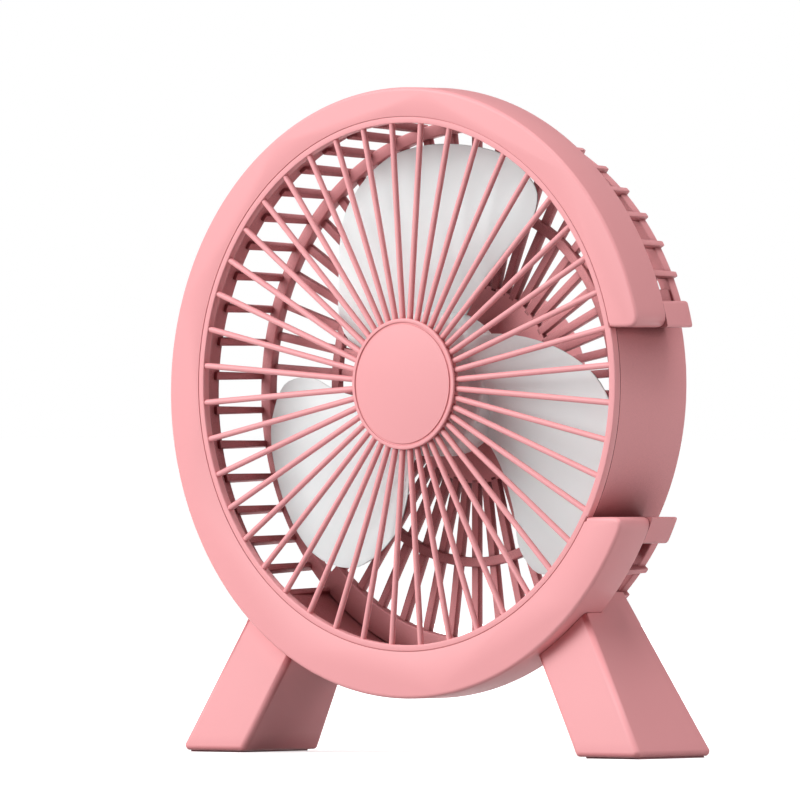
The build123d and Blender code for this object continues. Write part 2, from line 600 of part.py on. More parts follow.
def motor_end_cap():
    body = disc(CAN_RADIUS, MOTOR_BACK, MOTOR_BACK + END_CAP_DEPTH)
    body += disc(CAN_RADIUS - CAN_WALL - SCREW_PLAY, MOTOR_BACK - END_SPIGOT_DEPTH, MOTOR_BACK)
    return body - disc(BUSH_RADIUS + SCREW_PLAY, MOTOR_FRONT, MOTOR_BACK + END_CAP_DEPTH + OVERRUN)


def bush(front, length):
    return slab(ring(SHAFT_RADIUS + RUNNING, BUSH_RADIUS), front, front + length)


def front_bush():
    return bush(MOTOR_FRONT + CAN_WALL - BUSH_LENGTH / 2, BUSH_LENGTH)


def rear_bush():
    return bush(INNER_BACK, END_SPIGOT_DEPTH + END_CAP_DEPTH)


def magnets():
    front = MOTOR_FRONT + CAN_WALL + FIT
    back = INNER_BACK - FIT
    arc = ring(MAGNET_INNER, MAGNET_OUTER) & sector(-MAGNET_SPAN / 2, MAGNET_SPAN / 2)
    return [slab(Rot(0, 0, turn) * arc, front, back) for turn in (90, 270)]


def armature_outline():
    """Poles of the armature: arms with curved shoes about a round middle."""
    shoe = ring(CORE_RADIUS - POLE_SHOE, CORE_RADIUS) & sector(-POLE_SPAN / 2, POLE_SPAN / 2)
    arm = Pos((CORE_RADIUS - POLE_SHOE / 2) / 2, 0) * Rectangle(CORE_RADIUS - POLE_SHOE / 2, POLE_ARM)
    outline = Circle(COIL_INNER)
    for i in range(POLE_COUNT):
        outline += Rot(0, 0, 90 + i * 360 / POLE_COUNT) * (shoe + arm)
    return outline


def armature_core():
    return slab(armature_outline() - Circle(SHAFT_RADIUS + SCREW_PLAY), CORE_FRONT, CORE_BACK)


def armature_winding():
    """One plain block of wire round each arm of the core."""
    outer = CORE_RADIUS - POLE_SHOE - FIT
    half_turn = 180 / POLE_COUNT
    coil = Pos(outer / 2, 0) * Rectangle(outer, COIL_WIDTH) & Circle(outer)
    coil = coil & Pos(FIT, 0) * sector(-half_turn, half_turn)
    coil -= Circle(COIL_INNER + FIT)
    arm = Pos(CORE_RADIUS / 2, 0) * Rectangle(CORE_RADIUS, POLE_ARM + FIT)
    coils = []
    for i in range(POLE_COUNT):
        turn = Rot(0, 0, 90 + i * 2 * half_turn)
        block = slab(turn * coil, CORE_FRONT - COIL_OVERHANG, CORE_BACK + COIL_OVERHANG)
        coils.append(block - slab(turn * arm, CORE_FRONT - SCREW_PLAY, CORE_BACK + SCREW_PLAY))
    return coils


def commutator():
    back = INNER_BACK - FIT
    return slab(ring(SHAFT_RADIUS + SCREW_PLAY, COMMUTATOR_RADIUS), back - COMMUTATOR_LENGTH, back)


def brushes():
    """Carbon blocks either side of the commutator, seated on the end cap."""
    inner = COMMUTATOR_RADIUS + BRUSH_GAP
    block = Pos(inner + BRUSH_LENGTH / 2, 0) * Rectangle(BRUSH_LENGTH, BRUSH_WIDTH)
    return [slab(Rot(0, 0, turn) * block, BRUSH_FRONT, INNER_BACK) for turn in (0, 180)]


def motor_screws():
    seats = [front_plane(CUP_FRONT) * Pos(x, z) for x, z in MOTOR_SCREW_PLACES]
    return [screw(MOTOR_SCREW_RADIUS, MOTOR_SCREW_LENGTH, Plane(seat)) for seat in seats]


def usb_outline(grow):
    """End view of the charging socket."""
    width = USB_WIDTH + 2 * grow
    height = USB_HEIGHT + 2 * grow
    return SlotOverall(width, height)


def usb_plane(drop):
    """A plane that faces down, at the socket, this far below the axis."""
    depth = BOARD_BACK + USB_HEIGHT / 2
    return Plane(origin=(0, FRONT_Y + depth, AXIS_HEIGHT - drop), x_dir=(1, 0, 0), z_dir=(0, 0, -1))


def rear_cover():
    """Round cover with screw wells and openings for the button, the light and the socket."""
    inside = COVER_RADIUS - COVER_WALL
    body = disc(COVER_RADIUS, GUARD_BACK, COVER_BACK)
    body = fillet(body.faces().sort_by(Axis.Y)[-1].edges(), COVER_EDGE)
    body -= disc(inside, GUARD_BACK - OVERRUN, COVER_INSIDE)
    well = COVER_SCREW_RADIUS * HEAD_REACH_SHARE + FIT
    well_floor = COVER_BACK - COVER_SCREW_RADIUS * HEAD_HEIGHT_SHARE
    for x, z in POST_PLACES:
        body += disc(POST_RADIUS + COVER_WALL / 2, BOARD_BACK, COVER_INSIDE + COVER_WALL / 4, x, z)
        body -= disc(well, well_floor, COVER_BACK + OVERRUN, x, z)
        body -= disc(COVER_SCREW_RADIUS + SCREW_PLAY, BOARD_BACK - OVERRUN, COVER_BACK, x, z)
    near, far = COVER_INSIDE - OVERRUN, COVER_BACK + OVERRUN
    body -= disc(BUTTON_RADIUS + BUTTON_PLAY, near, far, 0, BUTTON_HEIGHT)
    body -= disc(LENS_RADIUS + SCREW_PLAY, near, far, LENS_OFFSET, BUTTON_HEIGHT)
    mouth = usb_plane(inside - USB_LENGTH / 2) * usb_outline(FIT)
    return body - extrude(mouth, amount=COVER_RADIUS)


def cover_screws():
    floor = COVER_BACK - COVER_SCREW_RADIUS * HEAD_HEIGHT_SHARE
    return [screw(COVER_SCREW_RADIUS, COVER_SCREW_LENGTH, back_plane(floor, x, z)) for x, z in POST_PLACES]


def cell_tray():
    """Plate on the guard's posts, with a lip round the cell and pillars under the board."""
    plate_back = POST_BACK + TRAY_PLATE
    body = disc(TRAY_RADIUS, POST_BACK, plate_back)
    lip_outer = Rectangle(CELL_WIDTH + 2 * (TRAY_PLATE + FIT), CELL_HEIGHT + 2 * (TRAY_PLATE + FIT))
    lip_inner = Rectangle(CELL_WIDTH + 2 * FIT, CELL_HEIGHT + 2 * FIT)
    body += slab(lip_outer - lip_inner, POST_BACK, plate_back + TRAY_LIP)
    for x, z in POST_PLACES:
        body += disc(POST_RADIUS, POST_BACK, BOARD_FRONT, x, z)
        body -= disc(COVER_SCREW_RADIUS + SCREW_PLAY, POST_BACK - OVERRUN, BOARD_FRONT + OVERRUN, x, z)
    return body


def battery_cell():
    front = POST_BACK + TRAY_PLATE
    body = slab(Rectangle(CELL_WIDTH, CELL_HEIGHT), front, front + CELL_DEPTH)
    return fillet(body.edges().filter_by(Axis.Z), CELL_EDGE)


def control_board():
    body = disc(BOARD_RADIUS, BOARD_FRONT, BOARD_BACK)
    for x, z in POST_PLACES:
        body -= disc(COVER_SCREW_RADIUS + SCREW_PLAY, BOARD_FRONT - OVERRUN, BOARD_BACK + OVERRUN, x, z)
    return body


def usb_port():
    """Steel shell with a tongue, open downwards."""
    mouth = COVER_RADIUS - COVER_WALL - FIT
    shell = extrude(usb_plane(mouth) * usb_outline(0), amount=-USB_LENGTH)
    hollow = extrude(usb_plane(mouth) * usb_outline(-USB_WALL), amount=USB_WALL - USB_LENGTH)
    tongue = usb_plane(mouth + USB_WALL - USB_LENGTH) * Rectangle(USB_TONGUE_WIDTH, USB_TONGUE_HEIGHT)
    return shell - hollow + extrude(tongue, amount=USB_LENGTH - 3 * USB_WALL)


def tact_switch():
    back = BOARD_BACK + SWITCH_DEPTH
    body = slab(Pos(0, BUTTON_HEIGHT) * Rectangle(SWITCH_SIDE, SWITCH_SIDE), BOARD_BACK, back)
    return body + disc(SWITCH_PLUNGER_RADIUS, BOARD_BACK, back + SWITCH_PLUNGER_DEPTH, 0, BUTTON_HEIGHT)


def power_button():
    """Round cap through the cover, kept in by a flange behind it."""
    body = disc(BUTTON_RADIUS, BUTTON_FRONT, REAR_END, 0, BUTTON_HEIGHT)
    body = fillet(body.faces().sort_by(Axis.Y)[-1].edges(), BUTTON_EDGE)
    flange = BUTTON_RADIUS + BUTTON_FLANGE
    return body + disc(flange, BUTTON_FRONT, BUTTON_FRONT + BUTTON_FLANGE_DEPTH, 0, BUTTON_HEIGHT)


def status_lens():
    body = disc(LENS_RADIUS, COVER_INSIDE - LENS_FLANGE_DEPTH, COVER_BACK, LENS_OFFSET, BUTTON_HEIGHT)
    flange = LENS_RADIUS + LENS_FLANGE
    return body + disc(flange, COVER_INSIDE - LENS_FLANGE_DEPTH, COVER_INSIDE, LENS_OFFSET, BUTTON_HEIGHT)


PIECES = {
    "c_frame": c_frame,
    "front_grille": front_grille,
    "hub_cap": hub_cap,
    "rear_guard": rear_guard,
    "left_leg": lambda: leg(-1),
    "right_leg": lambda: leg(1),
    "left_foot_pad": lambda: foot_pad(-1),
    "right_foot_pad": lambda: foot_pad(1),
    "frame_screws": frame_screws,
    "leg_screws": leg_screws,
    "impeller": impeller,
    "motor_shaft": motor_shaft,
    "motor_can": motor_can,
    "motor_end_cap": motor_end_cap,
    "front_bush": front_bush,
    "rear_bush": rear_bush,
    "magnets": magnets,
    "armature_core": armature_core,
    "armature_winding": armature_winding,
    "commutator": commutator,
    "brushes": brushes,
    "motor_screws": motor_screws,
    "rear_cover": rear_cover,
    "cover_screws": cover_screws,
    "cell_tray": cell_tray,
    "battery_cell": battery_cell,
    "control_board": control_board,
    "usb_port": usb_port,
    "tact_switch": tact_switch,
    "power_button": power_button,
    "status_lens": status_lens,
}

os.makedirs("parts", exist_ok=True)
for name, make in PIECES.items():
    made = make()
    solids = [s for item in made for s in item.solids()] if isinstance(made, list) else made.solids()
    shape = solids[0] if len(solids) == 1 else Compound(children=solids)
    export_step(shape, f"parts/{name}.step")
    print(name, len(solids), round(sum(s.volume for s in solids), 1))
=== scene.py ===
# %% [markdown]
# # A pink table fan
# The fan comes in as a packed CAD model: a C-shaped frame, a spoked grille, a slotted basket, three
# blades, two legs and a round cover with the electronics. This lesson dresses it. Pieces that the
# light shows up are made again as smooth meshes in the same place, and every piece gets a finish.

# %% Load the frame
from math import acos, asin, cos, degrees, pi, radians, sin, sqrt, tan

import bmesh
import bpy
import numpy as np
from mathutils import Matrix, Vector


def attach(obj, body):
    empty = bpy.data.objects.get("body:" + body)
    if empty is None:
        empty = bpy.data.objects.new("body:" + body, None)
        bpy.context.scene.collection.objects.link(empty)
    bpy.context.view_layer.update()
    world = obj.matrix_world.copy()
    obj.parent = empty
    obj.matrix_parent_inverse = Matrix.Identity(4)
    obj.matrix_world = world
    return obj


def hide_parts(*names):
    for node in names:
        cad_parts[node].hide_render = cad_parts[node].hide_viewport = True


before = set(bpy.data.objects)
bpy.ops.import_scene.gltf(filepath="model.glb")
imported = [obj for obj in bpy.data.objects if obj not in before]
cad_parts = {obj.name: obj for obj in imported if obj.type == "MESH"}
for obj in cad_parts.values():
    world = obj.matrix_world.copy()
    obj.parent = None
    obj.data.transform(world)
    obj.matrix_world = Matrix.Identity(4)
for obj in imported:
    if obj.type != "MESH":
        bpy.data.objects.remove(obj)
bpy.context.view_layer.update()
print("nodes loaded:", len(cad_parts))

# %% [markdown]
# ## Sizes
# The sizes are those of the CAD model, in millimetres. Depth is counted back from the flat face of
# the frame, and the fan axis is the middle of the front view. The frame and the basket are centred a
# little below the fan axis. One function turns a front-view position and a depth into a point.

# %% Sizes and places
MM = 0.001
AXIS_HEIGHT = 115.4
FRONT_Y = -28.1
DROP = 2.8
RING_RADIUS = 95.0
FACE_INNER = 83.2
GAP_TOP, GAP_BOTTOM = 17.4, -41.0
DRUM_RADIUS = 83.5


def at(x, depth, z):
    """A point of the front view at a depth, in metres in the part's frame."""
    return Vector((x, FRONT_Y + depth, AXIS_HEIGHT + z)) * MM


def polar(radius, angle):
    return radius * cos(radians(angle)), radius * sin(radians(angle))


def spread(first, last, step):
    """Evenly spaced angles from first to last, no further apart than step."""
    return list(np.linspace(first, last, max(2, int(abs(last - first) / step) + 1)))


print("axis at", tuple(round(v, 4) for v in at(0, 0, 0)))

# %% [markdown]
# ## Camera
# The fan is seen from its right at about forty degrees, level with its middle and from far away, so
# its lines hardly converge. A long lens at five metres gives the same slight perspective. The scale
# of the picture sets the lens, and the place of the fan axis in the picture sets the aim.

# %% Camera
VIEW_AZIMUTH = 39.1
VIEW_DISTANCE = 5000.0
PICTURE_PIXELS = 800
PIXELS_PER_MM = 3.22
AXIS_RIGHT_PIXELS, AXIS_UP_PIXELS = 4.0, 16.0
SENSOR_WIDTH = 36.0
CLIP_METRES = 60.0
view_turn = radians(VIEW_AZIMUTH)
right = Vector((cos(view_turn), sin(view_turn), 0))
toward = Vector((sin(view_turn), -cos(view_turn), 0))
shift = (right * AXIS_RIGHT_PIXELS + Vector((0, 0, AXIS_UP_PIXELS))) / PIXELS_PER_MM
aim = Vector((0, FRONT_Y, AXIS_HEIGHT)) - shift
lens_view = bpy.data.cameras.new("lens")
lens_view.sensor_width = SENSOR_WIDTH
lens_view.lens = SENSOR_WIDTH * VIEW_DISTANCE * PIXELS_PER_MM / PICTURE_PIXELS
lens_view.clip_end = CLIP_METRES
camera = bpy.data.objects.new("camera", lens_view)
camera.location = (aim + toward * VIEW_DISTANCE) * MM
camera.rotation_euler = (radians(90), 0, view_turn)
bpy.context.scene.collection.objects.link(camera)
bpy.context.scene.camera = camera
print("lens", round(lens_view.lens, 1), "mm")

# %% [markdown]
# ## Shader sums
# A finish is a small sum: a base tone, a little noise, and a deeper tone in the creases. Linking Math
# nodes one by one hides such a sum. A class that wraps an output socket and knows plus, minus, times
# and power lets it be written as it is read, and the Math nodes are added along the way.

# %% A socket in a sum


class Value:
    """An output socket that can stand in a sum."""

    def __init__(self, finish, socket):
        self.finish = finish
        self.socket = socket

    def sum_node(self, operation, first, second):
        return self.finish.node("ShaderNodeMath", {"operation": operation}, {0: first, 1: second})

    def __add__(self, other):
        return self.sum_node("ADD", self, other)

    __radd__ = __add__

    def __sub__(self, other):
        return self.sum_node("SUBTRACT", self, other)

    def __rsub__(self, other):
        return self.sum_node("SUBTRACT", other, self)

    def __mul__(self, other):
        return self.sum_node("MULTIPLY", self, other)

    __rmul__ = __mul__

    def __pow__(self, other):
        return self.sum_node("POWER", self, other)


print("sums with", [name for name in vars(Value) if name in ("__add__", "__sub__", "__mul__", "__pow__")])

# %% [markdown]
# ## The finish maker
# Every finish has one Principled shader. All nodes come from one method, which takes the node's type,
# its settings and what goes into its sockets, so a finish reads as a short list. Patterns follow Object
# coordinates, which stay with a piece when it moves.

# %% A finish


class Finish:
    """A material with one Principled shader, and a method that adds nodes to it."""

    def __init__(self, name):
        self.material = bpy.data.materials.new(name)
        self.material.use_nodes = True
        self.tree = self.material.node_tree
        self.shader = self.tree.nodes["Principled BSDF"]
        self.output = self.tree.nodes["Material Output"]

    def node(self, kind, settings=None, inputs=None, out=0):
        made = self.tree.nodes.new(kind)
        for key, value in (settings or {}).items():
            setattr(made, key, value)
        self.fill(made, inputs or {})
        return Value(self, made.outputs[out])

    def fill(self, made, inputs):
        for key, value in inputs.items():
            socket = made.inputs[key]
            if isinstance(value, Value):
                self.tree.links.new(value.socket, socket)
            else:
                socket.default_value = value

    def surface(self, **inputs):
        self.fill(self.shader, {key.replace("_", " "): value for key, value in inputs.items()})

    def coords(self):
        return self.node("ShaderNodeTexCoord", out="Object")

    def noise(self, scale, detail=2.0, roughness=0.5):
        return self.node("ShaderNodeTexNoise", None, {
            "Vector": self.coords(), "Scale": scale, "Detail": detail, "Roughness": roughness})

    def mix(self, factor, first, second):
        return self.node("ShaderNodeMix", {"data_type": "RGBA"}, {0: factor, 6: first, 7: second}, out=2)

    def bump(self, height, strength, distance, normal=None):
        inputs = {"Height": height, "Strength": strength, "Distance": distance}
        if normal is not None:
            inputs["Normal"] = normal
        return self.node("ShaderNodeBump", None, inputs)


def tone(colour, share=1.0):
    """A linear colour made darker or paler by a share, with its alpha."""
    return (*[min(1, c * share) for c in colour], 1)


print("half of white is", tone((1, 1, 1), 0.5))

# %% [markdown]
# ## Pink plastic
# The shell is moulded in one solid pink, with the fine satin grain of a spark-finished tool. A flat
# colour would look like paint, so the tone drifts slightly over a few centimetres, the roughness
# follows a finer noise, and a very fine bump breaks up the highlight. Shade is also painted into the
# colour: where Ambient Occlusion finds a point enclosed, the pink turns to a deeper, redder tone, which
# stands in for the shade and the red bounce light there. It reaches over a few millimetres on the
# shell, and over centimetres inside the basket.

# %% Pink finishes
DRIFT_SCALE = 22.0
DRIFT_DARK, DRIFT_PALE = 0.975, 1.02
GRAIN_HEIGHT = 0.00006
GRAIN_GLOSS = 0.1
PINK = (0.915, 0.392, 0.411)
# The next two colours are painted shade: the deeper tone of creases on the shell, and the darker one inside
# the basket.
PINK_PAINTED_SHADE = (0.55, 0.14, 0.15)
PINK_BASKET_PAINTED_SHADE = (0.17, 0.024, 0.026)
BASKET = {"roughness": 0.5, "grain_scale": 1800.0, "grain": 0.08}


def moulded(name, base, painted_shade_tone, roughness, grain_scale=1500.0, grain=0.10, edge=0.0, reach=0.006, fade=0.7):
    """Satin moulded plastic with painted shade. Base is the linear colour of open faces, and the second
    colour is the linear colour of the shade painted into creases.
    """
    finish = Finish(name)
    drift = finish.noise(DRIFT_SCALE, detail=3.0)
    fine = finish.noise(grain_scale, roughness=0.6)
    openness = finish.node("ShaderNodeAmbientOcclusion", {"samples": 4}, {"Distance": reach}, out="AO")
    # Painted shade: where Ambient Occlusion finds a point enclosed, the colour is mixed towards the shade
    # tone.
    shade = 1 - openness ** fade
    face = finish.mix(drift, tone(base, DRIFT_DARK), tone(base, DRIFT_PALE))
    normal = finish.node("ShaderNodeBevel", {"samples": 4}, {"Radius": edge}) if edge else None
    finish.surface(Base_Color=finish.mix(shade, face, tone(painted_shade_tone)),
                   Roughness=roughness - GRAIN_GLOSS / 2 + GRAIN_GLOSS * fine,
                   Normal=finish.bump(fine, grain, GRAIN_HEIGHT, normal),
                   IOR=1.5, Specular_IOR_Level=0.3)
    return finish.material


shell_pink = moulded("satin_pink", PINK, PINK_PAINTED_SHADE, 0.42)
grille_pink = moulded("grille_pink", PINK, PINK_PAINTED_SHADE, 0.40, grain_scale=2200.0, grain=0.06)
leg_pink = moulded("leg_pink", PINK, PINK_PAINTED_SHADE, 0.42, edge=0.0005)
cap_pink = moulded("cap_pink", PINK, PINK_PAINTED_SHADE, 0.38, grain=0.08)
# The basket's finishes are one pink that differ only in how much shade is painted into it: a longer reach
# and a stronger fade paint it darker.
guard_pink = moulded("guard_pink", PINK, PINK_BASKET_PAINTED_SHADE, reach=0.035, fade=2.0, **BASKET)
hoop_pink = moulded("hoop_pink", PINK, PINK_BASKET_PAINTED_SHADE, reach=0.02, fade=1.7, **BASKET)
rib_pink = moulded("rib_pink", PINK, PINK_BASKET_PAINTED_SHADE, reach=0.026, fade=1.75, **BASKET)
cup_pink = moulded("cup_pink", PINK, PINK_BASKET_PAINTED_SHADE, reach=0.016, fade=1.25, **BASKET)
print("pink finishes:", [m.name for m in bpy.data.materials if m.name.endswith("pink")])

# %% [markdown]
# ## Pale plastic and the light window
# The blades and the button are moulded as the shell is, in a cool near-white and a warm one, with
# painted shade in their creases. The small window beside the button is clear plastic, so it lets light
# through and is hardly rough.

# %% Pale finishes
# Each second colour is the shade painted into creases.
blade_white = moulded("blade_white", (0.87, 0.98, 0.98), (0.64, 0.72, 0.72), 0.36, 1200.0, 0.05)
button_white = moulded("button_white", (0.84, 0.82, 0.80), (0.5, 0.46, 0.45), 0.24, 1200.0, 0.03)
window = Finish("lens_clear")
window.surface(Base_Color=(0.92, 0.93, 0.95, 1), Roughness=0.12 + 0.08 * window.noise(900.0),
               Transmission_Weight=0.7, IOR=1.49)
lens_clear = window.material
print("pale finishes:", blade_white.name, button_white.name, lens_clear.name)

# %% [markdown]
# ## Metals, rubber and small parts
# The screws, the motor and the socket show only from behind or through the slots. Each still gets its
# own finish. Two makers are enough: metals are streaked by a fine noise in tone and gloss, and dull
# stuff such as rubber, carbon and a circuit board has specks that also lift its surface a little.

# %% Other finishes
METAL_DARK, METAL_GLOSS = 0.88, 0.16
DULL_DARK, DULL_GLOSS = 0.82, 0.12
SPECK_HEIGHT = 0.00008


def metal(name, colour, roughness, scale=900.0):
    finish = Finish(name)
    streak = finish.noise(scale, detail=3.0, roughness=0.7)
    finish.surface(Base_Color=finish.mix(streak, tone(colour, METAL_DARK), tone(colour)), Metallic=1.0,
                   Roughness=roughness - METAL_GLOSS / 2 + METAL_GLOSS * streak)
    return finish.material


def dull(name, colour, roughness, scale=700.0, bump=0.2):
    finish = Finish(name)
    speck = finish.noise(scale, detail=3.0, roughness=0.6)
    finish.surface(Base_Color=finish.mix(speck, tone(colour, DULL_DARK), tone(colour)),
                   Roughness=roughness - DULL_GLOSS / 2 + DULL_GLOSS * speck,
                   Normal=finish.bump(speck, bump, SPECK_HEIGHT))
    return finish.material


screw_steel = metal("screw_steel", (0.60, 0.60, 0.61), 0.32)
motor_steel = metal("motor_steel", (0.62, 0.62, 0.63), 0.36, 600.0)
bush_bronze = metal("bush_bronze", (0.52, 0.34, 0.15), 0.42)
copper_wire = metal("copper_wire", (0.62, 0.27, 0.12), 0.35)
socket_steel = metal("socket_steel", (0.70, 0.70, 0.71), 0.22)
cell_foil = metal("cell_foil", (0.66, 0.66, 0.68), 0.40, 300.0)
ferrite = dull("ferrite", (0.05, 0.05, 0.055), 0.6)
carbon = dull("carbon", (0.03, 0.03, 0.03), 0.55)
board_green = dull("board_green", (0.03, 0.12, 0.05), 0.38, 2400.0, 0.05)
switch_black = dull("switch_black", (0.02, 0.02, 0.02), 0.3, 900.0, 0.03)
pad_rubber = dull("pad_rubber", (0.42, 0.20, 0.21), 0.75, 1400.0, 0.35)
print("finishes in all:", len(bpy.data.materials))

# %% [markdown]
# ## Finish every CAD node
# Before any piece is made again, each node gets its finish. Nodes that stay are then done, and a
# node that a new piece stands for later is hidden with it.

# %% Node finishes
NODE_FINISH = {
    shell_pink: ("c_frame", "rear_cover"),
    grille_pink: ("front_grille",),
    cap_pink: ("hub_cap",),
    guard_pink: ("rear_guard", "cell_tray"),
    leg_pink: ("left_leg", "right_leg"),
    blade_white: ("impeller",),
    pad_rubber: ("left_foot_pad", "right_foot_pad"),
    screw_steel: ("frame_screws", "leg_screws", "motor_screws", "cover_screws"),
    motor_steel: ("motor_can", "motor_end_cap", "motor_shaft", "armature_core"),
    bush_bronze: ("front_bush", "rear_bush"),
    ferrite: ("magnets",),
    copper_wire: ("armature_winding", "commutator"),
    carbon: ("brushes",),
    board_green: ("control_board",),
    cell_foil: ("battery_cell",),
    socket_steel: ("usb_port",),
    switch_black: ("tact_switch",),
    button_white: ("power_button",),
    lens_clear: ("status_lens",),
}
for finish, names in NODE_FINISH.items():
    for name in names:
        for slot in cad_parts[name].material_slots:
            slot.material = finish
print("nodes finished:", sum(len(names) for names in NODE_FINISH.values()))

# %% [markdown]
# ## Profiles with round corners
# Most pieces are turned: a profile is carried round the axis. Moulded edges are never sharp, and a
# bevel on a finished mesh is hard to steer. So each profile gets its corners rounded before it is
# turned, by a short curve that touches both sides. The commonest profile is a plain band.

# %% Profiles
SIDE_SHARE = 0.49
TOO_SHORT = 1e-6


def rounded(points, radius, steps=3):
    """A closed outline with its corners rounded. A point may carry its own radius as a third value."""
    result = []
    for i, point in enumerate(points):
        here = np.array(point[:2], float)
        before = np.array(points[i - 1][:2], float) - here
        after = np.array(points[(i + 1) % len(points)][:2], float) - here
        size = point[2] if len(point) > 2 else radius
        long_before, long_after = np.linalg.norm(before), np.linalg.norm(after)
        a, b = before / long_before, after / long_after
        half = acos(max(-1.0, min(1.0, float(a @ b)))) / 2
        cut = min(size / tan(half), SIDE_SHARE * long_before, SIDE_SHARE * long_after) if size else 0
        if cut < TOO_SHORT:
            result.append(tuple(here))
            continue
        start, end = here + a * cut, here + b * cut
        for t in (k / steps for k in range(steps + 1)):
            result.append(tuple((1 - t) ** 2 * start + 2 * t * (1 - t) * here + t * t * end))
    return result


def band(inner, outer, front, back, soft, steps=3):
    """The profile of a plain band: two radii, two depths and the roundness of its corners."""
    return rounded([(inner, front), (outer, front), (outer, back), (inner, back)], soft, steps)


print("points of a soft band:", len(band(1, 2, 0, 1, 0.2)))

# %% [markdown]
# ## Turned shapes and rods
# A turned shape is a row of rings with faces between neighbours. The last ring joins the first on a
# full turn, and on a part turn both ends are capped. A rod is the same thing with two rings. Large
# pieces turn about the fan axis, and small ones about their own, to be set at their places later.

# %% Turned shapes


def bridged(bm, rings, closed):
    """Faces between neighbouring rings, joined up into a loop or capped at both ends."""
    for one, two in zip(rings, rings[1:] + (rings[:1] if closed else [])):
        for i in range(len(one)):
            j = (i + 1) % len(one)
            bm.faces.new((one[i], one[j], two[j], two[i]))
    if not closed:
        bm.faces.new(rings[0])
        bm.faces.new(reversed(rings[-1]))


def turned(bm, profile, angles, drop=0.0, closed=False):
    """Carries a closed (radius, depth) profile through a list of angles about the fan axis."""
    rings = []
    for angle in angles:
        points = [(*polar(radius, angle), depth) for radius, depth in profile]
        rings.append([bm.verts.new(at(x, depth, z - drop)) for x, z, depth in points])
    bridged(bm, rings, closed)


def full_turn(step):
    return list(np.arange(0, 360, step))


def small_turned(profile, count):
    """A closed (radius, depth) profile turned about its own axis, with its seat at depth zero."""
    bm = bmesh.new()
    rings = []
    for angle in (2 * pi * k / count for k in range(count)):
        points = [(r * cos(angle), depth, r * sin(angle)) for r, depth in profile]
        rings.append([bm.verts.new(Vector(p) * MM) for p in points])
    bridged(bm, rings, closed=True)
    return bm


def rod(section, start, end):
    """A bar along +X with a closed (depth, height) section."""
    bm = bmesh.new()
    rings = [[bm.verts.new(Vector((x, depth, z)) * MM) for depth, z in section] for x in (start, end)]
    bridged(bm, rings, closed=False)
    return bm


print("a turn in steps of 3 degrees has", len(full_turn(3)), "rings")

# %% [markdown]
# ## Mesh objects
# A few small helpers turn edited mesh data into finished objects. Faces are made to point outwards,
# smooth shading is cut where two faces meet at a sharp angle, modifiers are worked into a plain mesh,
# and pieces of one moulding are joined. Every object stays at the origin, with its place in its mesh.
# The last helper hands a piece over to the frame.

# %% Mesh objects
SHARP_ANGLE = 35.0


def placed(name, mesh):
    obj = bpy.data.objects.new(name, mesh)
    bpy.context.scene.collection.objects.link(obj)
    return obj


def smoothed(mesh, angle=SHARP_ANGLE):
    mesh.polygons.foreach_set("use_smooth", [True] * len(mesh.polygons))
    mesh.set_sharp_from_angle(angle=radians(angle))


def new_object(name, bm, finish, angle=SHARP_ANGLE, fix=True):
    """A mesh object from edited mesh data, with outward faces and a finish."""
    if fix:
        bmesh.ops.recalc_face_normals(bm, faces=bm.faces[:])
    mesh = bpy.data.meshes.new(name)
    bm.to_mesh(mesh)
    bm.free()
    smoothed(mesh, angle)
    mesh.materials.append(finish)
    return placed(name, mesh)


def settled(obj):
    """The object with its modifiers worked into a plain mesh."""
    depsgraph = bpy.context.evaluated_depsgraph_get()
    mesh = bpy.data.meshes.new_from_object(obj.evaluated_get(depsgraph))
    obj.modifiers.clear()
    obj.data = mesh
    return obj


def joined(name, parts):
    """One object from several of the same finish, all at the origin. Uses the parts up."""
    bm = bmesh.new()
    for part in parts:
        bm.from_mesh(part.data)
    mesh = bpy.data.meshes.new(name)
    bm.to_mesh(mesh)
    bm.free()
    mesh.materials.append(parts[0].data.materials[0])
    for part in parts:
        bpy.data.objects.remove(part)
    return placed(name, mesh)


def stands_for(obj, body, slot, *nodes):
    """Hands a finished piece to the frame: the body it rides on, its slot and the nodes it stands for. The
    slot is not used.
    """
    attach(obj, body)
    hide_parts(*nodes)
    print(obj.name, "triangles", sum(len(p.vertices) - 2 for p in obj.data.polygons))


print("smooth shading is cut at", SHARP_ANGLE, "degrees")

# %% [markdown]
# ## Legs, pads and the back's small parts
# The legs, their pads, the rear cover and what sits in it have the right shape already, cut to their
# neighbours. Their meshes come in as loose triangles, which shade flat. So a copy is merged, its flat
# faces are made whole, and Weighted Normal lets the large faces rule the shading at their soft edges.

# %% Merged copies
MERGE_METRES = 2e-6
FLAT_ANGLE = 0.5
COPY_SHARP_ANGLE = 28.0


def merged_copy(node, finish):
    bm = bmesh.new()
    bm.from_mesh(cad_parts[node].data)
    bmesh.ops.remove_doubles(bm, verts=bm.verts[:], dist=MERGE_METRES)
    bmesh.ops.dissolve_limit(bm, angle_limit=radians(FLAT_ANGLE), verts=bm.verts[:], edges=bm.edges[:])
    obj = new_object(node + "_smooth", bm, finish, COPY_SHARP_ANGLE, fix=False)
    flat = obj.modifiers.new("flat", "WEIGHTED_NORMAL")
    flat.weight = 100
    flat.keep_sharp = True
    return settled(obj)


for side in ("left", "right"):
    stands_for(merged_copy(side + "_leg", leg_pink), "housing", "pink_shell", side + "_leg")
    stands_for(merged_copy(side + "_foot_pad", pad_rubber), "housing", "pad_rubber", side + "_foot_pad")
stands_for(merged_copy("rear_cover", shell_pink), "housing", "pink_shell", "rear_cover")
stands_for(merged_copy("usb_port", socket_steel), "housing", "socket_steel", "usb_port")
stands_for(merged_copy("status_lens", lens_clear), "housing", "lens_clear", "status_lens")
stands_for(merged_copy("power_button", button_white), "button", "button_pale", "power_button")

